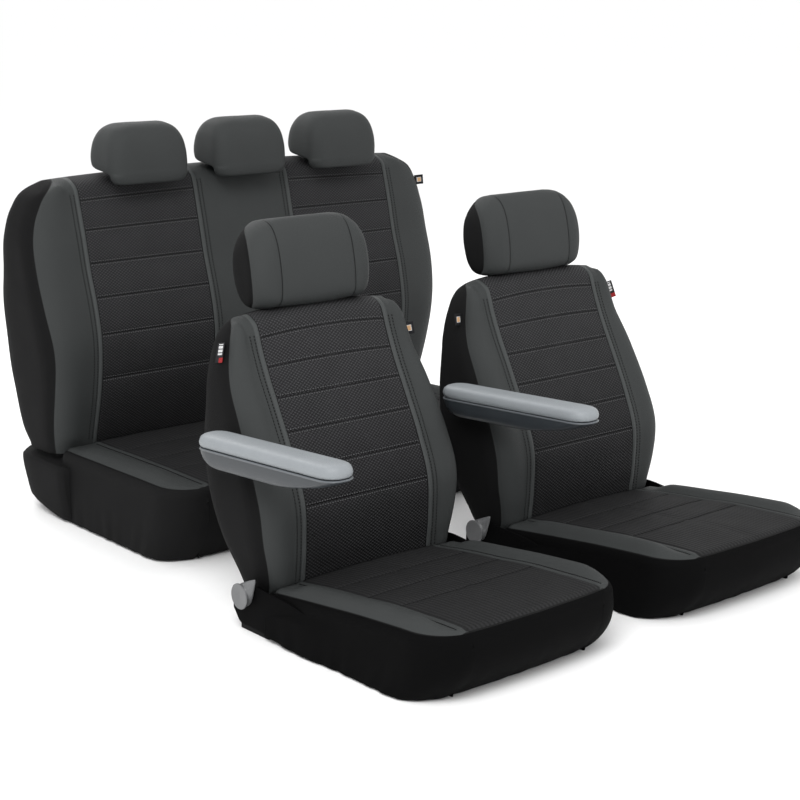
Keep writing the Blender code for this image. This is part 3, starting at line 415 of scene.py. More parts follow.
def half_loops(half, front, rear, corner, rear_corner, fullness=0.85):
    """Right halves of rounded rectangles, one per row: front, front corner, side, rear corner, rear. A corner is a
    quarter of an ellipse whose sine and cosine are raised to a power under 1, which makes it fuller."""
    half, front, rear = (np.asarray(a, float)[:, None] for a in (half, front, rear))
    quarter = np.linspace(0, np.pi / 2, 22)[None, :]
    sine, cosine = np.sin(quarter) ** fullness, np.clip(np.cos(quarter), 0, 1) ** fullness
    flat = np.linspace(0, 1, 10)[None, :]
    fx, fy = np.minimum(corner[0], 0.96 * half), np.minimum(corner[1], 0.5 * (rear - front))
    rx, ry = np.minimum(rear_corner, 0.96 * half), np.minimum(rear_corner, 0.5 * (rear - front))
    xs = [flat * (half - fx), half - fx + fx * sine, half + 0 * flat, half - rx + rx * cosine,
          (1 - flat) * (half - rx)]
    ys = [front + 0 * flat, front + fy * (1 - cosine), front + fy + (rear - ry - front - fy) * flat,
          rear - ry + ry * sine, rear + 0 * flat]
    return np.concatenate(xs, 1), np.concatenate(ys, 1)


def measured(x, y):
    """Length along each row of points, from its first point."""
    step = np.hypot(np.diff(x, axis=1), np.diff(y, axis=1))
    return np.concatenate([np.zeros((len(x), 1)), np.cumsum(step, 1)], 1)


def walk(x, y, run, at):
    """The points of each row at the lengths in at."""
    xs = np.stack([np.interp(a, r, row) for a, r, row in zip(at, run, x)])
    ys = np.stack([np.interp(a, r, row) for a, r, row in zip(at, run, y)])
    return xs, ys


def mirrored(right, run, along):
    """A whole grid from its right half: points, lengths from the middle with a sign, and the map."""
    points = np.concatenate([right[:, :0:-1] * np.array([-1, 1, 1]), right], 1)
    signed = np.concatenate([-run[:, :0:-1], run], 1)
    along = np.broadcast_to(along, run.shape)
    return points, signed, np.stack([signed, np.concatenate([along[:, :0:-1], along], 1)], -1)


def outward(points):
    """Unit normals of a grid: the cross product of its steps along columns and along rows."""
    across, up = np.gradient(points, axis=1), np.gradient(points, axis=0)
    normal = np.cross(across, up)
    return normal / np.maximum(np.linalg.norm(normal, axis=2, keepdims=True), 1e-12)


square = half_loops([0.1], [0.0], [0.2], (0.02, 0.02), 0.02)
print("half loop of a 20 cm square:", round(float(measured(*square)[0, -1]), 3))

# %% [markdown]
# A grid becomes a mesh in one step. Its two ends, and rows that have shrunk to a line, lie on themselves, and
# welding the doubles closes them. The map is written before the weld, so it does not smear where the ends meet.

# %% From a grid to a piece


def mesh_of(name, vertices, faces, finishes, zones=None, cloth=None, weld=1e-5):
    """An object at the origin from arrays. zones gives each face's finish, and cloth each vertex's map in metres."""
    data = bpy.data.meshes.new(name)
    data.from_pydata(vertices.tolist(), [], faces.tolist())
    for finish in finishes:
        data.materials.append(finish)
    if zones is not None:
        data.polygons.foreach_set("material_index", zones.astype(np.int32))
    if cloth is not None:
        layer = data.uv_layers.new(name="cloth")
        layer.data.foreach_set("uv", cloth[faces.ravel()].astype(np.float32).ravel())
    shape = bmesh.new()
    shape.from_mesh(data)
    if weld:
        bmesh.ops.remove_doubles(shape, verts=shape.verts, dist=weld)
        bmesh.ops.dissolve_degenerate(shape, edges=shape.edges, dist=1e-7)
    bmesh.ops.recalc_face_normals(shape, faces=shape.faces)
    shape.to_mesh(data)
    shape.free()
    data.shade_smooth()
    made = bpy.data.objects.new(name, data)
    bpy.context.scene.collection.objects.link(made)
    return made


def grid_faces(rows, columns):
    """Quads of a grid of vertices that is numbered row by row."""
    index = np.arange(rows * columns).reshape(rows, columns)
    return np.stack([index[:-1, :-1], index[:-1, 1:], index[1:, 1:], index[1:, :-1]], -1).reshape(-1, 4)


def piece_from_grid(name, points, cloth, finishes, zones=None):
    rows, columns = points.shape[:2]
    flat_zones = None if zones is None else np.broadcast_to(zones, (rows - 1, columns - 1)).reshape(-1)
    return mesh_of(name, points.reshape(-1, 3), grid_faces(rows, columns), finishes, flat_zones,
                   cloth.reshape(-1, 2))


def placed(name, body, replaced=(), bend=None):
    """Tells the frame what a piece is: parents it to its body's empty and hides the CAD nodes that it stands for.
    With bend, the piece is only baked in place and gets no parent; the places that bend holds are not used."""
    piece = bpy.data.objects[name]
    if bend:
        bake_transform(piece)
    else:
        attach(piece, body)
    if replaced:
        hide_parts(*replaced)
    print(f"{name}: {len(piece.data.polygons)} faces, rides on {body}")
    return piece


# %% [markdown]
# ## Topstitching
# Each stitch is a small bead of thread that lies along the seam. It has only sixteen triangles, because there are
# thousands. A run of stitches follows a row or a column of the padded surface, at one pitch measured along it.

# %% Stitches
BEAD = np.array([[-0.5, 0, 0.0], [-0.3, 1, 0.2], [-0.3, 0, 1.0], [-0.3, -1, 0.2], [0.3, 1, 0.2], [0.3, 0, 1.0],
                 [0.3, -1, 0.2], [0.5, 0, 0.0], [-0.3, 0, -0.6], [0.3, 0, -0.6]])
BEAD_TIPS = np.array([[0, 2, 1], [0, 3, 2], [0, 8, 3], [0, 1, 8], [7, 4, 5], [7, 5, 6], [7, 6, 9], [7, 9, 4]])
BEAD_SIDES = np.array([[1, 2, 5, 4], [2, 3, 6, 5], [3, 8, 9, 6], [8, 1, 4, 9]])
BEAD_FACES = np.concatenate([BEAD_TIPS, BEAD_SIDES[:, [0, 1, 2]], BEAD_SIDES[:, [0, 2, 3]]])
BEAD_LIFT = 0.0007


def run_of(points, normals, pitch, start=0.5):
    """Places along a polyline, a pitch apart, with the direction of the line and the surface's normal there."""
    length = np.concatenate([[0], np.cumsum(np.linalg.norm(np.diff(points, axis=0), axis=1))])
    at = np.arange(start * pitch, length[-1] - 0.4 * pitch, pitch)
    sample = lambda values: np.stack([np.interp(at, length, values[:, k]) for k in range(3)], 1)
    centre, normal = sample(points), sample(normals)
    along = np.gradient(centre, axis=0)
    along /= np.maximum(np.linalg.norm(along, axis=1, keepdims=True), 1e-12)
    return centre, along, normal


def stitched(name, runs, finish, body, bend=None, length=0.0044, width=0.0030):
    """All runs as one piece: bead x length along the run, x half the width sideways, x half the width upwards."""
    centre, along, normal = (np.concatenate([r[k] for r in runs]) for k in range(3))
    aside = np.cross(normal, along)
    shape = BEAD * np.array([length, width / 2, width / 2])
    vertices = (centre[:, None] + shape[None, :, 0:1] * along[:, None] + shape[None, :, 1:2] * aside[:, None]
                + (shape[None, :, 2:3] + BEAD_LIFT) * normal[:, None]).reshape(-1, 3)
    faces = (BEAD_FACES[None] + len(BEAD) * np.arange(len(centre))[:, None, None]).reshape(-1, 3)
    mesh_of(name, vertices, faces, [finish], weld=None)
    placed(name, body, bend=bend)


# %% [markdown]
# ## Seat backs
# A back is a front panel with an embossed insert, trims and bolsters, a black gusset that wraps the sides, and a
# black rear panel. The insert is quilted: six double rows of stitches pull it down, and it swells in between.

# %% Shape of a back
TRIM_WIDE = 0.013
ROW_OFFSETS = (0.0165, 0.0275)  # the two rows of topstitch, measured from the insert's seam
SEAM_HALF = 0.0011
SEAM_DEEP, TRIM_HIGH, ROW_DEEP, GUSSET_DEEP = 0.0022, 0.0024, 0.0005, 0.0020
QUILT_ROW = 0.0050  # a quilting line's two rows of stitches lie this far above and below it
TOPSTITCH_PITCH, QUILT_PITCH, CUSHION_PITCH = 0.0076, 0.0072, 0.0056


def marks_of(seams, last, spacing=0.018):
    """Column places across the front: even steps, and close ones round each seam, its trim and its two rows."""
    near = (-0.012, -0.006, -0.003, -SEAM_HALF, SEAM_HALF, 0.0028, 0.006, 0.010, TRIM_WIDE, 0.0145, *ROW_OFFSETS,
            0.022, 0.033)
    fine = sorted({0.0, last, *(seam + side * offset for seam, side in seams for offset in near)})
    fine = [m for m in fine if 0 <= m <= last]
    marks = [fine[0]]
    for mark in fine[1:]:
        if mark - marks[-1] > 1.6 * spacing:
            count = int(round((mark - marks[-1]) / spacing))
            marks += list(np.linspace(marks[-1], mark, count + 1)[1:-1])
        if mark - marks[-1] > 0.0007:
            marks.append(mark)
    return np.array(marks)


def level_rows(bottom, top, lines, spacing=0.010):
    """Heights of the loops: even steps, and close ones round each quilting line."""
    near = np.array([side * away for side in (-1, 1) for away in (0.010, 0.0072, QUILT_ROW, 0.0026, 0.0008)])
    fine = np.sort((np.asarray(lines)[:, None] + near).ravel())
    even = np.arange(bottom, top, spacing)
    even = even[np.abs(even[:, None] - fine).min(1) > 0.004]
    return np.sort(np.concatenate([even, fine[(fine > bottom) & (fine < top)]]))


def quilting(height, lines):
    """How far the insert is pulled in: a fold at each line, and a swell that grows away from it."""
    away = np.min(np.abs(height[:, None] - np.asarray(lines)), axis=1)
    return 0.0026 * (1 - bell(away, 0.020)) - 0.0020 * bell(away, 0.0060) - 0.0022 * bell(away, 0.0018)


def insert_mask(size, inserts):
    """1 inside the inserts and 0 outside, with a slope of 7 mm at their edges."""
    return sum(ease(size, low - 0.001, low + 0.006) * (1 - ease(size, high - 0.006, high + 0.001))
               for low, high in inserts)


def ripples(u, v, size):
    """Slow unevenness of stuffed cloth: a sum of three slanting waves with unlike wavelengths."""
    return size * (np.sin(17.3 * u + 9.1 * v + 1.0) + 0.7 * np.sin(31.7 * v - 13.3 * u + 2.1)
                   + 0.5 * np.sin(52.1 * u + 27.7 * v + 0.4)) / 2.2


def back_grid(spec):
    """A back's points, normals, map and zones. All lengths are in the seat's frame."""
    share, wide, front, rear = (np.array(c) for c in zip(*spec["sections"]))
    bottom, top, dome = spec["bottom"], spec["top"], spec["dome"]
    heights = level_rows(bottom + 0.004, top - dome, spec["lines"])
    heights = np.concatenate([heights, top - dome + dome * np.sin(np.linspace(0, np.pi / 2, 11))])
    level = (heights - bottom) / (top - bottom)
    half, y_front, y_rear = (curve(level, share, c) for c in (wide * spec["half"], front, rear))
    rise = np.clip((heights - (top - dome)) / dome, 0, 1)
    tuck = 1 - np.sqrt(np.clip(1 - rise**2, 0, 1))
    half = half - spec["shoulder"] * tuck
    middle = (y_front + y_rear) / 2
    y_front, y_rear = y_front + (middle - y_front) * tuck, y_rear + (middle - y_rear) * tuck
    # the hem turns under, and closes inside
    lower = [(0.060, 1.0, 0.012), (0.008, 0.06, 0.010), (0.004, 0.02, 0.002), (0.000, 0.0, 0.000)]
    add_half = [half[0] - a for a, _, _ in lower]
    squeeze = [b for _, b, _ in lower]
    add_front = [y_front[0] + (y_rear[0] - y_front[0]) / 2 * b for b in squeeze]
    add_rear = [y_rear[0] - (y_rear[0] - y_front[0]) / 2 * b for b in squeeze]
    heights = np.concatenate([[bottom + c for _, _, c in lower], heights])
    half = np.concatenate([add_half, half])
    y_front, y_rear = np.concatenate([add_front, y_front]), np.concatenate([add_rear, y_rear])

    # the front corners tighten towards the shoulders, so that the trims run straight over the top
    firm = 1 - 0.60 * ease(heights, top - 0.22 * (top - bottom), top - dome)
    corner = (spec["corner"][0] * firm[:, None], spec["corner"][1])
    x, y = half_loops(half, y_front, y_rear, corner, spec["rear_corner"])
    run = measured(x, y)
    marks = marks_of(spec["seams"], spec["last"])
    narrow = np.clip((half + 0.030) / (spec["last"] + 0.012), 0, 1)
    fixed = marks[None, :] * narrow[:, None]
    gusset = curve(heights, *spec["gusset"]) + np.maximum(half - spec["corner"][0] * 0.35, 0.5 * half)
    gusset = np.clip(gusset, fixed[:, -1] + 0.004, 0.80 * run[:, -1])
    behind = np.maximum(run[:, -1] - (half - 0.040), gusset + 0.01)
    span = lambda a, b, n: a[:, None] + (b - a)[:, None] * np.linspace(0, 1, n)[None, 1:]
    parts = [fixed, span(fixed[:, -1], gusset - SEAM_HALF, 13), span(gusset - SEAM_HALF, gusset + SEAM_HALF, 2),
             span(gusset + SEAM_HALF, behind - SEAM_HALF, 13), span(behind - SEAM_HALF, behind + SEAM_HALF, 2),
             span(behind + SEAM_HALF, run[:, -1], 12)]
    at = np.concatenate(parts, 1)
    px, py = walk(x, y, run, at)
    ends = np.cumsum([p.shape[1] for p in parts])

    right = np.stack([px, py, np.broadcast_to(heights[:, None], px.shape)], -1)
    climb = np.concatenate([[0], np.cumsum(np.hypot(np.diff(y_front), np.diff(heights)))])
    points, signed, cloth = mirrored(right, at, climb[:, None])
    normals = outward(points)

    # relief
    size = np.abs(signed)
    inside = insert_mask(size, spec["inserts"])
    calm = (ease(heights, bottom + 0.004, bottom + 0.05) * (1 - ease(heights, top - 0.6 * dome, top)))[:, None]
    relief = inside * quilting(heights, spec["lines"])[:, None]
    for seam, side in spec["seams"]:
        beyond = side * (size - seam)
        relief += TRIM_HIGH * ease(beyond, 0.0, 0.003) * (1 - ease(beyond, TRIM_WIDE - 0.003, TRIM_WIDE + 0.001))
        relief -= SEAM_DEEP * bell(beyond, 0.0016)
        for offset in ROW_OFFSETS:
            relief -= ROW_DEEP * bell(beyond - offset, 0.0022)
    start, stop = fixed[:, -1:], gusset[:, None]
    q = np.clip((size - start) / np.maximum(stop - start, 1e-6), 0, 1)
    relief += spec["bolster"] * np.sin(np.pi * q) ** 1.3 * calm
    for groove in (stop, behind[:, None]):
        relief -= GUSSET_DEEP * bell(size - groove, 0.0018)
    relief += ripples(signed, heights[:, None], 0.0011) * (1 - 0.6 * inside)
    relief[:, [0, -1]] = relief[:, [0, -1]].mean(1, keepdims=True)
    points = points + normals * (relief * calm)[..., None]
    # the top is an arch: it sinks with the square of the distance from the middle
    aside = np.clip(points[..., 0] / (0.7 * spec["half"]), -1.3, 1.3)
    points[..., 2] -= spec["arch"] * aside**2 * ease(points[..., 2], top - 0.22, top)

    # zones, by column
    columns = len(parts[0][0]) - 1
    count = size.shape[1] // 2
    side_zone = np.full(count, 2)
    side_zone[columns:ends[1] - 1] = 1
    side_zone[ends[1] - 1] = 4
    side_zone[ends[2] - 1:ends[3] - 1] = 2
    side_zone[ends[3] - 1] = 4
    for k in range(columns):
        mid = (marks[k] + marks[k + 1]) / 2
        side_zone[k] = 0 if any(low < mid < high for low, high in spec["inserts"]) else 1
        for seam, side in spec["seams"]:
            beyond = side * (mid - seam)
            if abs(beyond) <= SEAM_HALF:
                side_zone[k] = 4
            elif SEAM_HALF < beyond < TRIM_WIDE:
                side_zone[k] = 3
    across = np.concatenate([side_zone[::-1], side_zone])
    zones = np.repeat(across[None], len(heights) - 1, 0)
    between = (heights[1:] + heights[:-1]) / 2
    fold = np.min(np.abs(between[:, None] - np.asarray(spec["lines"])), axis=1) < 0.0010
    zones[fold[:, None] & (zones == 0)] = 4
    return {"points": points, "normals": outward(points), "cloth": cloth, "zones": zones, "heights": heights,
            "marks": marks, "centre": size.shape[1] // 2, "gusset": int(ends[1])}


BACK_FINISHES = [mesh_cloth, charcoal, black_side, charcoal_trim, seam_dark]


def insert_columns(marks, centre, inserts):
    """Columns of each insert: one run where it spans the middle, otherwise one run on each side."""
    for low, high in inserts:
        keep = np.where((marks > low + 0.001) & (marks < high - 0.001))[0]
        if low == 0:
            yield np.arange(centre - keep[-1], centre + keep[-1] + 1)
        else:
            yield from (np.sort(centre + side * keep) for side in (-1, 1))


def back_stitches(grid, spec, body, bend=None):
    """Two rows beside each seam, all the way up, and two rows along each quilting line between the seams."""
    points, normals, heights, marks, centre = (grid[k] for k in ("points", "normals", "heights", "marks", "centre"))
    rows = np.where((heights > spec["bottom"] + 0.03) & (heights < spec["top"] - 0.03))[0]
    dark, grey = [], []
    for seam, side in spec["seams"]:
        for offset in ROW_OFFSETS:
            column = int(np.argmin(np.abs(marks - (seam + side * offset))))
            for c in (centre + column, centre - column):
                dark.append(run_of(points[rows, c], normals[rows, c], TOPSTITCH_PITCH))
    for line in spec["lines"]:
        for offset in (-QUILT_ROW, QUILT_ROW):
            row = int(np.argmin(np.abs(heights - (line + offset))))
            for columns in insert_columns(marks, centre, spec["inserts"]):
                grey.append(run_of(points[row, columns], normals[row, columns], QUILT_PITCH))
    stitched(f"{body}_trim_topstitch", dark, stitch_dark, body, bend)
    stitched(f"{body}_quilting_stitch", grey, stitch_grey, body, bend, length=0.0045, width=0.0028)


def build_back(grid, spec, seat, bend=None):
    """The padded back of one seat with its stitches, from a grid in the seat's own frame."""
    grid = dict(grid, points=grid["points"] + origins[seat])
    body = f"{seat}_back"
    piece_from_grid(f"{body}_padded", grid["points"], grid["cloth"], BACK_FINISHES, grid["zones"])
    placed(f"{body}_padded", body, (f"{body}_cover", f"{body}_foam"), bend)
    back_stitches(grid, spec, body, bend)
    return grid


print("back maker ready")

# %% [markdown]
# The front backs taper to a narrow top with round shoulders. Their gusset's seam is an S: low down it runs near
# the front corner, beside the armrest it swings back by a hand's width, and it returns to the edge at the shoulder.

# %% Front backs
front_back = {
    "sections": (
        (0.000, 0.870, 0.045, 0.130), (0.057, 0.900, 0.012, 0.162), (0.130, 0.925, 0.002, 0.193),
        (0.228, 0.970, -0.003, 0.220), (0.358, 1.000, 0.000, 0.246), (0.504, 0.995, 0.035, 0.266),
        (0.650, 0.965, 0.082, 0.276), (0.780, 0.925, 0.124, 0.278), (0.886, 0.870, 0.152, 0.272),
        (0.959, 0.805, 0.168, 0.262), (1.000, 0.735, 0.180, 0.248),
    ),
    "half": 0.305, "arch": 0.014, "bottom": 0.060, "top": 0.706, "dome": 0.024, "shoulder": 0.010,
    "corner": (0.075, 0.070), "rear_corner": 0.087, "bolster": 0.008,
    "lines": (0.288, 0.369, 0.447, 0.520, 0.589, 0.657),
    "seams": ((0.181, 1),), "inserts": ((0.0, 0.181),), "last": 0.216,
    "gusset": ((0.06, 0.20, 0.30, 0.39, 0.47, 0.54, 0.60, 0.66, 0.71),
               (0.020, 0.022, 0.020, 0.020, 0.024, 0.028, 0.028, 0.032, 0.040)),
}
front_grid = back_grid(front_back)
grids = {}
for seat in FRONT_SEATS:
    # two places on the back's hinge line; given as bend, they only keep the back's pieces baked in place instead of
    # parented to the back
    bend = tuple(tuple(float(v) for v in origins[seat] + (0, 0.07, z)) for z in (0.115, 0.235))
    grids[seat] = build_back(front_grid, front_back, seat, bend)

# %% [markdown]
# The bench's back is the same garment for three people: two inserts, a charcoal panel between them, and a gusset
# that starts right at the front corner.

# %% Bench back
bench_back = {
    "sections": (
        (0.000, 0.925, 0.010, 0.235), (0.050, 0.940, 0.000, 0.250), (0.240, 0.970, -0.036, 0.266),
        (0.410, 0.988, -0.050, 0.268), (0.550, 1.000, -0.032, 0.262), (0.670, 1.000, -0.006, 0.252),
        (0.800, 0.992, 0.016, 0.236), (0.900, 0.962, 0.034, 0.218), (0.960, 0.925, 0.046, 0.200),
        (1.000, 0.870, 0.056, 0.172),
    ),
    "half": 0.700, "arch": 0.010, "bottom": 0.178, "top": 0.930, "dome": 0.034, "shoulder": 0.012,
    "corner": (0.070, 0.065), "rear_corner": 0.135, "bolster": 0.007,
    "lines": (0.385, 0.508, 0.606, 0.696, 0.787, 0.871),
    "seams": ((0.166, -1), (0.528, 1)), "inserts": ((0.166, 0.528),), "last": 0.561,
    "gusset": ((0.18, 0.30, 0.45, 0.60, 0.75, 0.85, 0.93), (0.024, 0.018, 0.006, 0.010, 0.012, 0.008, 0.000)),
}
grids["bench"] = build_back(back_grid(bench_back), bench_back, "bench")

# %% [markdown]
# ## Cushions
# A cushion's top is a grid that ends exactly on its outline, a rectangle with two round front corners. Near the
# outline it rolls down a quarter circle. The black skirt hangs from that same edge, so one seam joins the two.

# %% Shape of a cushion
SEAM_STRIP = 0.0024  # how deep the dark line of the front seam is


def cushion_grid(spec):
    """The top's points, map and zones. z = profile + crown - roll at the edge + relief."""
    half, front, rear, (rx, ry), roll = (spec[k] for k in ("half", "front", "rear", "corner", "roll"))
    lines = np.array(spec["lines"])
    even = np.linspace(rear, front + ry, spec["rows"])
    near = np.array([-0.008, -0.004, -0.0015, 0.0015, 0.004, 0.008])
    radius = (rx + ry) / 2
    nose_seam = ry * (1 - (1 - spec["edge"] / radius) ** (1 / 1.1))
    near_seam = front + nose_seam + np.array([-0.0014, 0.0, SEAM_STRIP, 0.0040])
    round_nose = front + ry * (1 - np.sin(np.linspace(0, np.pi / 2, 22)[1:]))
    fine = np.unique(np.concatenate([(lines[:, None] + near).ravel(), near_seam, round_nose]).round(4))
    even = even[np.abs(even[:, None] - fine).min(1) > 0.003]
    y = np.sort(np.concatenate([even, fine]))[::-1]
    bend = np.clip((front + ry - y) / ry, 0, 1)
    wide = half - rx + rx * np.sqrt(np.clip(1 - bend**2.2, 0, 1))
    marks = marks_of(spec["seams"], spec["last"], 0.016)
    # distance from the outline: r (1 - sqrt(u^2 + v^2.2)), where u and v go from 0 to 1 across the round corner
    joint = half - rx + rx * np.sqrt(np.clip((1 - spec["edge"] / radius) ** 2 - bend**2.2, 0, 1))
    scale = np.clip((joint - 0.002) / spec["last"], 0, 1)
    fixed = marks[None, :] * scale[:, None]
    out = np.sin(np.linspace(0, np.pi / 2, 11))[1:]
    start, stop = fixed[:, -1:], (joint - SEAM_HALF)[:, None]
    band = start + (stop - start) * np.linspace(0, 1, 9)[None, 1:]
    edge = (joint + SEAM_HALF)[:, None] + (wide - joint - SEAM_HALF)[:, None] * np.concatenate([[0], out])[None]
    size = np.concatenate([fixed, band, edge], 1)
    yy = np.broadcast_to(y[:, None], size.shape)
    nose_gap = yy - front
    far = np.clip((size - half + rx) / rx, 0, 1)
    from_edge = radius * (1 - np.sqrt(far**2 + bend[:, None] ** 2.2))
    reach = np.clip(1 - from_edge / roll, 0, 1)
    drop = roll * (1 - np.sqrt(np.clip(1 - reach**2, 0, 1)))
    crown = spec["crown"] * (1 - (size / half) ** 2) * ease(yy, front, front + 0.12)
    rise = curve(yy, *spec["profile"])
    inside = insert_mask(size, spec["inserts"])
    away = np.min(np.abs(y[:, None] - lines), 1)
    relief = inside * (0.0016 * (1 - bell(away, 0.018)) - 0.0024 * bell(away, 0.0035))[:, None]
    for seam, side in spec["seams"]:
        beyond = side * (size - seam)
        relief = relief + 0.0016 * ease(beyond, 0, 0.003) * (1 - ease(beyond, 0.010, 0.014))
        relief = relief - SEAM_DEEP * bell(beyond, 0.0018) - 0.0008 * bell(beyond - ROW_OFFSETS[0], 0.002)
    calm = 1 - reach
    between = np.clip((size - start) / np.maximum(stop - start, 1e-6), 0, 1)
    bolster = spec["bolster"] * np.sin(np.pi * between) * ease(-yy, 0.02, 0.10) * ease(nose_gap, 0.02, 0.12)
    dent = 0.0018 * bell(from_edge - spec["edge"], 0.0025)
    z = rise + crown - drop + (relief + bolster + ripples(size, yy, 0.0016)) * calm - dent
    yy = yy + spec["bow"] * (size / half) ** 2 * ease(yy / front, 0.35, 1.0)
    points, _, cloth = mirrored(np.stack([size, yy, z], -1), size, yy)
    zone = np.full(size.shape[1] - 1, 1)
    for k in range(len(marks) - 1):
        mid = (marks[k] + marks[k + 1]) / 2
        if any(low < mid < high for low, high in spec["inserts"]):
            zone[k] = 0
        for at, side in spec["seams"]:
            if abs(mid - at) <= SEAM_HALF:
                zone[k] = 2
    zone[len(marks) + 7] = 2
    zone[len(marks) + 8:] = 3
    across = np.concatenate([zone[::-1], zone])
    zones = np.repeat(across[None], len(y) - 1, 0)
    nose = (y[1:] + y[:-1]) / 2 - front
    zones[nose < nose_seam] = 3
    strip = (nose >= nose_seam) & (nose < nose_seam + SEAM_STRIP)
    zones[strip[:, None] & (zones != 3)] = 2
    return {"points": points, "cloth": cloth, "zones": zones, "marks": marks, "centre": size.shape[1] - 1, "y": y}


def skirt_grid(grid, spec):
    """Rows that hang from the top's edge loop: outwards by a slow bulge, inwards at the hem, then under."""
    top = grid["points"]
    loop = np.concatenate([top[:, 0], top[-1, 1:], top[-2::-1, -1], top[0, -2:0:-1]])
    loop = np.concatenate([loop, loop[:1]])
    step = np.gradient(np.concatenate([loop[-3:-1], loop, loop[1:3]])[:, :2], axis=0)[2:-2]
    step = sum(np.roll(step[:-1], k, 0) for k in (-2, -1, 0, 1, 2))
    step = np.concatenate([step, step[:1]])
    normal = np.stack([step[:, 1], -step[:, 0]], 1)
    normal /= np.maximum(np.linalg.norm(normal, axis=1, keepdims=True), 1e-12)
    run = np.concatenate([[0], np.cumsum(np.linalg.norm(np.diff(loop, axis=0), axis=1))])
    hem = spec["hem"](loop[:, 1])
    aside = np.abs(normal[:, 0])
    forward = np.clip((loop[:, 1] + 0.22) / (spec["front"] + 0.22), 0, 1)
    to_hem = np.stack([loop[:, 0] * spec["splay"] / spec["half"], forward * spec["tuck"]], 1)
    t = (np.linspace(0, 1, 22) ** 1.15)[:, None]
    swell = 0.0045 * np.sin(np.pi * t)
    swell = swell + spec["flare"] * aside[None] * ease(loop[:, 1], -0.26, -0.12)[None] * ease(t, 0.0, 0.3)
    gather = 0.0016 * np.sin(run * 2 * np.pi / 0.061) * np.sin(run * 2 * np.pi / 0.37 + 0.6)
    swell = swell + gather[None] * ease(t, 0.25, 1.0)
    z = loop[:, 2][None] * (1 - t) + hem[None] * t
    xy = loop[None, :, :2] + normal[None] * swell[..., None] + to_hem[None] * (t**2.4)[..., None]
    body = np.concatenate([xy, z[..., None]], -1)
    inner = [np.concatenate([xy[-1] - normal * back, (hem + lift)[:, None]], -1)
             for back, lift in ((0.003, -0.002), (0.008, 0.000), (0.010, 0.014))]
    centre = np.broadcast_to(np.array([0.0, (spec["front"] + spec["rear"]) / 2, 0.040]), loop.shape)
    points = np.concatenate([body, np.stack(inner), centre[None]], 0)
    under = np.stack([loop[:, 2] - hem + 0.01 * (k + 1) for k in range(4)])
    drop = np.concatenate([loop[:, 2][None] - body[..., 2], under])
    cloth = np.stack([np.broadcast_to(run[None], drop.shape), -drop], -1)
    return points[::-1], cloth[::-1]


def build_cushion(seat, spec):
    """Top and skirt welded into one piece, and the stitches beside the seams and across the inserts."""
    name, origin = f"{seat}_cushion_padded", origins[seat]
    grid = cushion_grid(spec)
    skirt, skirt_map = skirt_grid(grid, spec)
    top = grid["points"]
    # rows run from the rear to the front, so the order is turned to face the cloth upwards
    top_up, cloth_up = top[::-1] + origin, grid["cloth"][::-1]
    faces = grid_faces(*top_up.shape[:2])
    skirt_faces = grid_faces(*skirt.shape[:2]) + top_up.shape[0] * top_up.shape[1]
    vertices = np.concatenate([top_up.reshape(-1, 3), (skirt + origin).reshape(-1, 3)])
    cloth = np.concatenate([cloth_up.reshape(-1, 2), skirt_map.reshape(-1, 2)])
    zones = np.concatenate([grid["zones"][::-1].reshape(-1), np.full(len(skirt_faces), 3)])
    finishes = [rib_cloth, charcoal, seam_dark, spec["skirt"]]
    mesh_of(name, vertices, np.concatenate([faces, skirt_faces]), finishes, zones, cloth)
    placed(name, "base", (f"{seat}_cushion_cover", f"{seat}_cushion_foam"))
    normals = outward(top_up)
    marks, centre, y = grid["marks"], grid["centre"], grid["y"][::-1]
    rows = np.where((y > spec["front"] + 0.022) & (y < spec["rear"] - 0.01))[0]
    runs = []
    for seam, side in spec["seams"]:
        column = int(np.argmin(np.abs(marks - (seam + side * ROW_OFFSETS[0]))))
        for c in (centre + column, centre - column):
            runs.append(run_of(top_up[rows, c], normals[rows, c], CUSHION_PITCH))
    stitched(f"{name}_topstitch", runs, stitch_dark, "base")
    rows_across = []
    for line in spec["lines"]:
        row = int(np.argmin(np.abs(y - line)))
        for columns in insert_columns(marks, centre, spec["inserts"]):
            rows_across.append(run_of(top_up[row, columns], normals[row, columns], CUSHION_PITCH))
    stitched(f"{name}_cross_stitch", rows_across, stitch_dark, "base", length=0.0040, width=0.0018)


print("cushion maker ready")

# %% Front cushions
front_cushion = {
    "half": 0.283, "front": -0.572, "rear": -0.002, "corner": (0.095, 0.100), "roll": 0.030, "rows": 46,
    "crown": 0.006, "last": 0.2135, "seams": ((0.195, 1),), "inserts": ((0.0, 0.195),), "edge": 0.012,
    "bow": 0.016, "bolster": 0.017,
    "lines": (-0.120, -0.235, -0.345), "profile": ((-0.58, -0.40, -0.20, 0.0), (0.164, 0.154, 0.136, 0.113)),
    "hem": lambda y: 0.004 + 0.010 * ease(y, -0.15, 0.06), "splay": 0.009, "tuck": 0.066, "flare": 0.010,
    "skirt": skirt_cloth,
}
for seat in FRONT_SEATS:
    build_cushion(seat, front_cushion)

# %% Bench cushion
bench_cushion = {
    "half": 0.645, "front": -0.574, "rear": -0.010, "corner": (0.100, 0.100), "roll": 0.030, "rows": 46,
    "crown": 0.004, "last": 0.5495, "seams": ((0.160, -1), (0.530, 1)), "inserts": ((0.160, 0.530),), "edge": 0.014,
    "bow": 0.012, "bolster": 0.012,
    "lines": (-0.130, -0.255, -0.380), "profile": ((-0.56, -0.40, -0.20, 0.0), (0.204, 0.204, 0.203, 0.202)),
    "hem": lambda y: 0.006 + 0.0 * y, "splay": 0.004, "tuck": 0.055, "flare": 0.0, "skirt": bench_skirt,
}
build_cushion("bench", bench_cushion)

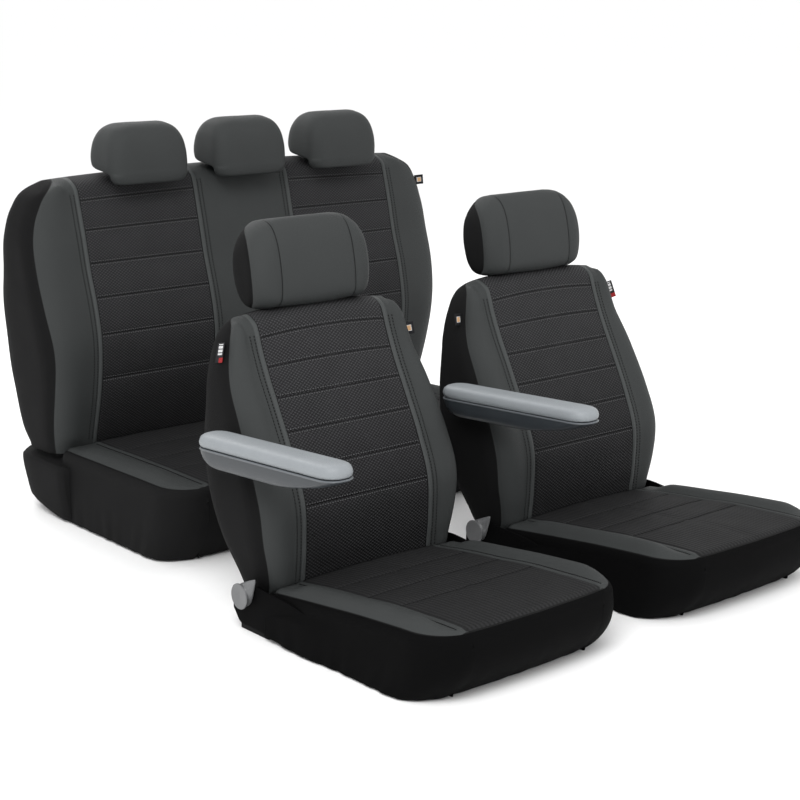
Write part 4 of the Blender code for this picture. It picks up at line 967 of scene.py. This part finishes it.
# %% [markdown]
# ## Stacked pads
# Headrests, armrests and the bench's rear shelf are plain stacks of loops. Each row is a half width, a front, a
# rear and a height, and the first and last rows shrink to a line that the weld closes.

# %% Stacks
REFINE = 5  # rows made from each given one


def stack_grid(rows, corner, rear_corner, marks=(), columns=26, relief=0.0, refine=REFINE):
    """Points, map and column places. Rows are smoothed: a curve through each of their four numbers."""
    table = np.array(rows, float)
    knots = np.arange(len(table))
    fine = np.linspace(0, len(table) - 1, (len(table) - 1) * refine + 1)
    half, front, rear, z = (np.interp(fine, knots, table[:, k]) if refine == 1 else curve(fine, knots, table[:, k])
                            for k in range(4))
    half, rear = np.maximum(half, 0), np.maximum(rear, front)
    x, y = half_loops(half, front, rear, corner, rear_corner)
    run = measured(x, y)
    even = np.linspace(0, 1, columns)
    at = even[None] * run[:, -1:]
    if len(marks):
        fixed = np.array(marks)
        share = np.clip(0.80 * run[:, -1] / fixed[-1], 0, 1)
        base = fixed[None] * share[:, None]
        rest = base[:, -1:] + (run[:, -1:] - base[:, -1:]) * np.linspace(0, 1, columns)[None, 1:]
        at = np.concatenate([base, rest], 1)
    px, py = walk(x, y, run, at)
    right = np.stack([px, py, np.broadcast_to(z[:, None], px.shape)], -1)
    climb = np.concatenate([[0], np.cumsum(np.abs(np.diff(z)) + np.abs(np.diff(half)))])
    points, signed, cloth = mirrored(right, at, climb[:, None])
    if relief:
        fade = np.sin(np.pi * np.linspace(0, 1, len(z)))[:, None] ** 0.5
        share = np.clip(np.abs(signed) / max(run[:, -1].max(), 1e-9), 0, 1)
        waves = ripples(signed, z[:, None], relief) * fade * np.cos(np.pi * share / 2)
        points = points + outward(points) * waves[..., None]
    return points, cloth, signed


# %% [markdown]
# A front headrest is a pillow on two posts, sewn from a middle panel, two side panels and a black gusset that goes
# all the way round the back. It leans back by ten degrees, like its posts.

# %% Front headrests
LEAN = math.radians(10)
HEADREST_TALL = 0.196
PANEL_SEAM, GUSSET_START = 0.107, 0.189
rest_rows = [
    (0.098, 0.001, 0.003, 0.000), (0.128, -0.020, 0.026, -0.003), (0.149, -0.040, 0.046, 0.001),
    (0.160, -0.054, 0.060, 0.015), (0.1665, -0.061, 0.068, 0.044), (0.1690, -0.064, 0.071, 0.088),
    (0.1650, -0.062, 0.069, 0.130), (0.1550, -0.055, 0.062, 0.161), (0.1390, -0.043, 0.051, 0.184),
    (0.1180, -0.026, 0.036, 0.197), (0.0980, 0.004, 0.008, 0.2010),
]
rest_marks = [0.0, 0.02, 0.04, 0.06, 0.08, 0.095, 0.102, PANEL_SEAM - 0.003, PANEL_SEAM - SEAM_HALF,
              PANEL_SEAM + SEAM_HALF, PANEL_SEAM + 0.003, 0.113, 0.122, 0.134, 0.148, 0.160, 0.172, 0.182,
              GUSSET_START - SEAM_HALF, GUSSET_START + SEAM_HALF, 0.195]


def headrest(name, seat):
    """Rows in the headrest's own frame, with grooves along its seams, leaned back and set on its posts."""
    points, cloth, signed = stack_grid(rest_rows, (0.052, 0.046), 0.050, rest_marks, columns=18)
    level = np.linspace(0, 1, len(points))[:, None]
    fade = ease(level, 0.0, 0.15) * (1 - ease(level, 0.88, 1.0))
    size = np.abs(signed) / np.maximum(np.abs(signed).max(1, keepdims=True), 1e-9)
    column = np.concatenate([np.arange(points.shape[1] // 2, 0, -1), np.arange(points.shape[1] // 2 + 1)])
    at = np.interp(column, np.arange(len(rest_marks)), rest_marks)[None]
    groove = 0.0024 * bell(at - PANEL_SEAM, 0.0030) + 0.0022 * bell(at - GUSSET_START, 0.0026)
    swell = 0.0030 * np.cos(np.clip(at / PANEL_SEAM, 0, 1) * np.pi / 2) + 0.0016 * np.sin(
        np.pi * np.clip((at - PANEL_SEAM) / (GUSSET_START - PANEL_SEAM), 0, 1))
    uneven = ripples(signed, level * 0.2, 0.0012) * (size < 0.95)
    points = points + outward(points) * ((swell - groove + uneven) * fade)[..., None]
    low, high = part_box(f"{seat}_headrest_cover")
    up = Vector((0, math.sin(LEAN), math.cos(LEAN)))
    foot = (low + high) / 2 - up * (0.5 * HEADREST_TALL)
    turn = np.array(Matrix.Rotation(-LEAN, 3, "X"))
    world_points = points @ turn.T + np.array(foot)
    zone = np.full(points.shape[1] // 2, 1)
    middle = (np.array(rest_marks)[1:] + np.array(rest_marks)[:-1]) / 2
    zone[: len(middle)] = np.where(middle < GUSSET_START, 0, 1)
    zone[: len(middle)][np.minimum(np.abs(middle - PANEL_SEAM), np.abs(middle - GUSSET_START)) < 0.0005] = 2
    zones = np.concatenate([zone[::-1], zone])
    return piece_from_grid(name, world_points, cloth, [charcoal, black_side, seam_dark], zones)


for seat in FRONT_SEATS:
    headrest(f"{seat}_headrest_padded", seat)
    placed(f"{seat}_headrest_padded", f"{seat}_headrest",
           (f"{seat}_headrest_cover", f"{seat}_headrest_foam"))

# %% [markdown]
# The bench's three headrests sit on the edge of the back and hang a soft lip over it, so they have almost no gap.

# %% Bench headrests
bench_rest_rows = [
    (0.060, 0.002, 0.004, -0.020), (0.088, -0.014, 0.012, -0.026), (0.106, -0.025, 0.020, -0.025),
    (0.116, -0.030, 0.026, -0.014), (0.1200, -0.032, 0.032, 0.000), (0.1220, -0.032, 0.108, 0.012),
    (0.1225, -0.032, 0.126, 0.030), (0.1205, -0.030, 0.127, 0.060), (0.1140, -0.023, 0.120, 0.092),
    (0.1000, -0.009, 0.105, 0.118), (0.0800, 0.014, 0.082, 0.131), (0.0620, 0.046, 0.050, 0.1345),
]
HEADREST_LIP = 0.038  # the CAD lip hangs this far below the top of the back
RAISED = 0.022  # the padded headrests stand this much higher than the plain ones
for hand in ("right", "middle", "left"):
    low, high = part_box(f"bench_{hand}_headrest_cover")
    name = f"bench_{hand}_headrest_padded"
    points, cloth, _ = stack_grid(bench_rest_rows, (0.046, 0.040), 0.050, columns=30, relief=0.0012)
    top_edge = low.z + HEADREST_LIP + RAISED
    points = points + np.array([(low.x + high.x) / 2, origins["bench"][1], top_edge])
    piece_from_grid(name, points, cloth, [charcoal])
    placed(name, f"bench_{hand}_headrest",
           (f"bench_{hand}_headrest_cover", f"bench_{hand}_headrest_foam"))

# %% [markdown]
# The bench's cover also wraps the shelf that runs back under its seat back, down to the floor.

# %% Bench shelf
shelf_rows = [
    (0.570, 0.100, 0.100, 0.030), (0.636, -0.040, 0.215, 0.010), (0.650, -0.050, 0.226, 0.005),
    (0.657, -0.052, 0.232, 0.014), (0.662, -0.052, 0.240, 0.050), (0.667, -0.052, 0.246, 0.100),
    (0.668, -0.052, 0.248, 0.140), (0.664, -0.048, 0.242, 0.155), (0.650, -0.035, 0.228, 0.160),
    (0.570, 0.100, 0.100, 0.161),
]
points, cloth, _ = stack_grid(shelf_rows, (0.012, 0.012), 0.115, columns=44)
# the hem climbs towards the rear, where the cloth is pulled under the bench
points[..., 2] += 0.040 * ease(points[..., 1], -0.02, 0.24) * (1 - points[..., 2] / shelf_rows[-1][3])
piece_from_grid("bench_shelf_cover", points + origins["bench"], cloth, [bench_skirt])
placed("bench_shelf_cover", "base")

# %% [markdown]
# ## Armrests
# A soft pale pad lies on a hard slate shell that thins towards its front end. They climb forwards by three degrees
# and turn on a bolt. The two are separate pieces, and a dark crease is left between them.

# %% Armrests
CLIMB = math.radians(3)
CREASE = 0.016
pad_rows = [  # heights above the crease
    (0.000, -0.440, -0.021, 0.0020), (0.031, -0.468, 0.007, 0.0008), (0.0355, -0.4735, 0.0122, 0.0025),
    (0.0378, -0.4755, 0.0145, 0.0080), (0.0378, -0.4755, 0.0145, 0.0150), (0.0352, -0.4730, 0.0115, 0.0225),
    (0.0295, -0.4670, 0.0055, 0.0275), (0.0180, -0.4550, -0.0060, 0.0302), (0.000, -0.437, -0.023, 0.0310),
]
shell_rows = [
    (0.000, -0.235, -0.045, -0.0490), (0.011, -0.250, -0.033, -0.0486), (0.0215, -0.285, -0.018, -0.0455),
    (0.0295, -0.345, -0.0050, -0.0380), (0.0345, -0.415, 0.0065, -0.0255), (0.0366, -0.456, 0.0120, -0.0130),
    (0.0372, -0.4725, 0.0135, -0.0060), (0.0382, -0.4755, 0.0148, -0.0042), (0.0384, -0.4757, 0.0150, -0.0024),
    (0.0372, -0.4735, 0.0135, -0.0008), (0.0310, -0.468, 0.0070, -0.0004), (0.000, -0.440, -0.021, -0.0015),
]
# rows of the shell's lip; the lip's shape is real, and its lighter colour is a painted highlight
LIP_HIGHLIGHT_ROWS = (6, 9)


def along_arm(rows, seat):
    """A stack in the armrest's frame, climbing forwards, with its origin on the bolt's axis."""
    raised = np.array(rows) + (0, 0, 0, CREASE)
    points, cloth, _ = stack_grid(raised, (0.036, 0.046), 0.036, columns=40)
    bolt_low, bolt_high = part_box(f"{seat}_armrest_bolt")
    pad_low, pad_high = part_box(f"{seat}_armrest_pad")
    hub = np.array([(pad_low.x + pad_high.x) / 2, (bolt_low.y + bolt_high.y) / 2, (bolt_low.z + bolt_high.z) / 2])
    return points @ np.array(Matrix.Rotation(-CLIMB, 3, "X")).T + hub, cloth


for seat in FRONT_SEATS:
    points, cloth = along_arm(pad_rows, seat)
    piece_from_grid(f"{seat}_armrest_top", points, cloth, [pale_vinyl])
    placed(f"{seat}_armrest_top", f"{seat}_armrest", (f"{seat}_armrest_pad",))
    points, cloth = along_arm(shell_rows, seat)
    # the lip rows get the lighter slate, a painted highlight
    row = np.arange(len(points) - 1)[:, None] / REFINE
    lip = ((row >= LIP_HIGHLIGHT_ROWS[0] + 0.4) & (row < LIP_HIGHLIGHT_ROWS[1])).astype(int)
    piece_from_grid(f"{seat}_armrest_under", points, cloth, [slate, slate_lip_highlight], lip)
    placed(f"{seat}_armrest_under", f"{seat}_armrest", (f"{seat}_armrest_shell",))

# %% [markdown]
# ## Recline levers
# A lever is a round cap that faces sideways, and a flare that grows out of its inner side, forwards and up, to a
# point for the fingers. Its sections across X change from the circle to a drop with a pointed lobe.

# %% Levers
CAP_RADIUS, WING = 0.030, 0.048
WING_AIM = np.radians(132)  # forwards and up: -y, +z


def lever(name, seat):
    """r(angle) = cap x radius + wing x lobe x pointedness. The lobe grows from the outer face inwards."""
    low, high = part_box(f"{seat}_recline_lever")
    shaft_low, shaft_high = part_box(f"{seat}_recliner_shaft")
    hub_y, hub_z = (shaft_low.y + shaft_high.y) / 2, (shaft_low.z + shaft_high.z) / 2
    angle = np.linspace(0, 2 * np.pi, 97)[None]
    depth = high.x - low.x
    rows = np.array([  # share of the depth, share of the radius, lobe
        (0.16, 0.00, 0.00), (0.06, 0.55, 0.00), (0.015, 0.82, 0.00), (0.00, 0.92, 0.00), (0.03, 0.985, 0.00),
        (0.10, 1.00, 0.00), (0.18, 0.985, 0.02), (0.30, 0.93, 0.16), (0.45, 0.88, 0.45), (0.62, 0.86, 0.80),
        (0.78, 0.86, 1.00), (0.90, 0.84, 1.00), (0.97, 0.78, 0.94), (1.00, 0.60, 0.70), (1.00, 0.00, 0.00),
    ])
    fine = np.linspace(0, len(rows) - 1, 71)
    at, radius, lobe = (curve(fine, np.arange(len(rows)), rows[:, k])[:, None] for k in range(3))
    turned = np.angle(np.exp(1j * (angle - WING_AIM)))
    point = np.exp(-np.abs(turned) / 0.36)
    reach = CAP_RADIUS * np.clip(radius, 0, None)
    reach = reach + WING * np.clip(lobe, 0, None) * point * np.clip(radius, 0, 0.8)
    x = low.x + depth * np.clip(at, 0, 1) + 0 * angle
    points = np.stack([x, hub_y + reach * np.cos(angle), hub_z + reach * np.sin(angle)], -1)[:, ::-1]
    cloth = np.stack([np.broadcast_to(angle * CAP_RADIUS, x.shape), x - low.x], -1)
    return piece_from_grid(name, points, cloth, [lever_grey])


for seat in FRONT_SEATS:
    lever(f"{seat}_lever_cap", seat)
    placed(f"{seat}_lever_cap", f"{seat}_lever", (f"{seat}_recline_lever",))

# %% [markdown]
# ## Side flaps
# Behind the bite line the skirt goes on as a flap of the same black cloth that hangs beside the recliner. It is a
# thin padded leaf: each section across it is a flat ellipse, and its hem lifts towards the rear.

# %% Flaps


def flap(name, node, side, origin):
    """Sections along y: height from hem(y) to top(y), thickness from the CAD shield, closed at both ends."""
    low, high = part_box(node)
    y = low.y - origin[1] + (high.y - low.y) * (1 - np.cos(np.linspace(0, np.pi, 60))) / 2
    share = (y - y[0]) / (y[-1] - y[0])
    top = curve(share, (0, 0.25, 0.5, 0.8, 0.93, 1.0), (0.090, 0.104, 0.112, 0.112, 0.100, 0.076))
    hem = 0.005 + 0.008 * ease(y, -0.15, 0.06) + 0.030 * ease(y, 0.085, 0.126) ** 2
    tall = (top - hem) / 2 * np.sqrt(np.clip(1 - np.clip((0.02 - share) / 0.02, 0, 1) ** 2, 0, 1))
    around = np.linspace(0, 2 * np.pi, 49)[None]
    thick = (high.x - low.x) / 2
    settle = 0.013 * (1 - ease(share, 0.0, 0.60))[:, None]
    full = lambda wave, power: np.sign(wave) * np.abs(wave) ** power
    x = (low.x + high.x) / 2 - side * settle + thick * full(np.cos(around), 0.4) * np.minimum(1, tall[:, None] / 0.01)
    z = ((top + hem) / 2)[:, None] + tall[:, None] * full(np.sin(around), 0.7)
    points = np.stack([x, np.broadcast_to(y[:, None] + origin[1], x.shape), z], -1)
    cloth = np.stack([np.broadcast_to(y[:, None], x.shape), z], -1)
    return piece_from_grid(name, points, cloth, [skirt_cloth])


for seat in FRONT_SEATS:
    for hand, side in (("right", -1), ("left", 1)):
        flap(f"{seat}_skirt_flap_{hand}", f"{seat}_side_shield_{hand}", side, origins[seat])
        placed(f"{seat}_skirt_flap_{hand}", "base", (f"{seat}_side_shield_{hand}",))

# %% [markdown]
# ## Tags and hard parts
# The tags are woven labels with plain shapes and no words. The remaining CAD nodes keep their shape and get
# their real finish: steel posts and shafts, black guides, painted pans and frames, and a strap of webbing.

# %% Tags


def label(name, ground, light):
    """Woven label on object coordinates: fine rows of thread across a plain ground."""
    made = Finish(name, 0.65, gloss=0.15)
    rows = made.node("ShaderNodeTexWave", {"Vector": made.place(), "Scale": 500.0, "Distortion": 0.4}, output=1,
                     bands_direction="Z")
    return made.done(made.blend(rows, ground, light), None, rows, 0.0002, 0.5)


TAG_FINISHES = [
    label("woven label", (0.006, 0.006, 0.007), (0.014, 0.014, 0.016)),
    label("pale threads", (0.40, 0.40, 0.40), (0.62, 0.62, 0.62)),
    label("red threads", (0.180, 0.008, 0.010), (0.300, 0.016, 0.018)),
    label("sand threads", (0.420, 0.240, 0.120), (0.600, 0.380, 0.200)),
]
THICK = 0.0015
SAFETY_SIZE, MAKER_SIZE = (0.028, 0.046), (0.028, 0.030)


def tag(name, base, out, up, size, pattern):
    """A leaf that starts at base and reaches out and up. pattern(u, v) gives each face's finish."""
    wide, tall = size
    leaf = [(wide / 2, -THICK / 2, THICK / 2, v) for v in np.linspace(0.0008, tall - 0.0008, 22)]
    rows = [(wide / 2, 0, 0, 0.0), *leaf, (wide / 2, 0, 0, tall)]
    points, cloth, _ = stack_grid(rows, (0.0006, 0.0006), 0.0006, columns=40, refine=1)
    out, up = (np.asarray(v, float) / np.linalg.norm(v) for v in (out, up))
    up = up - out * (up @ out)
    up /= np.linalg.norm(up)
    face = np.cross(out, up)
    curl = 0.004 * (points[..., 0] / wide + 0.5) ** 2
    placed_at = (base + (points[..., :1] + wide / 2) * out + (points[..., 1:2] + curl[..., None]) * face
                 + (points[..., 2:3] - tall / 2) * up)
    u = (points[:-1, :-1, 0] + points[1:, 1:, 0]) / 2 / wide + 0.5
    v = (points[:-1, :-1, 2] + points[1:, 1:, 2]) / 2 / tall
    return piece_from_grid(name, placed_at, cloth, TAG_FINISHES, pattern(u, v))


def safety_pattern(u, v):
    """Plain pale bars, and a red corner."""
    bars = (u > 0.22) & (u < 0.82) & (v > 0.34) & (v < 0.92) & ((v * 11) % 2 < 1.25)
    return np.where(bars, 1, np.where((v < 0.24) & (u > 0.45), 2, 0))


def maker_pattern(u, v):
    """A plain sand-coloured square inside a pale line."""
    reach = np.maximum(np.abs(u - 0.55), np.abs(v - 0.5))
    return np.where(reach < 0.19, 3, np.where(reach < 0.25, 1, 0))


def on_gusset(grid, height, side, behind=2):
    """A place on a back's side seam, with the cloth's normal and its upward direction."""
    row = int(np.argmin(np.abs(grid["heights"] - height)))
    column = grid["centre"] + side * (grid["gusset"] + behind)
    up = grid["points"][row + 2, column] - grid["points"][row - 2, column]
    return grid["points"][row, column], grid["normals"][row, column], up


for seat, safety_side in (("front_right", -1), ("front_left", 1)):
    at, normal, up = on_gusset(grids[seat], 0.640, safety_side, 3 if safety_side < 0 else 1)
    if safety_side < 0:
        along = np.cross(up, normal)
        at, out = at + 0.002 * normal - 0.006 * along / np.linalg.norm(along), along
    else:
        out = np.array([0.9, -0.15, 0.25])
    tag(f"{seat}_safety_tag", at, out, up, SAFETY_SIZE, safety_pattern)
    placed(f"{seat}_safety_tag", f"{seat}_back", (f"{seat}_airbag_tag",))
    at, normal, up = on_gusset(grids[seat], 0.628, -safety_side, 1)
    out = np.array([-safety_side * 0.9, -0.3, 0.1])
    tag(f"{seat}_side_tag", at - 0.003 * normal, out, up, MAKER_SIZE, maker_pattern)
    placed(f"{seat}_side_tag", f"{seat}_back", (f"{seat}_maker_tag",))
at, normal, up = on_gusset(grids["bench"], 0.845, 1, 1)
tag("bench_side_tag", at - 0.003 * normal, np.array([0.9, -0.3, 0.1]), up, MAKER_SIZE, maker_pattern)
placed("bench_side_tag", "bench_back", ("bench_maker_tag",))

# %% Finishes for the CAD nodes that stay
KEPT = (
    (("_headrest_posts", "_armrest_bolt", "_shaft"), steel),
    (("_post_guide_left", "_post_guide_right"), black_plastic),
    (("_seat_pan", "_back_frame"), painted),
    (("_cushion_strap",), webbing),
)
for node_name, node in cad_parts.items():
    for endings, finish in KEPT:
        if node_name.endswith(endings):
            for holder in node.material_slots:
                holder.material = finish
print("nodes that stay:", sum(not n.hide_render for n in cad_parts.values()))
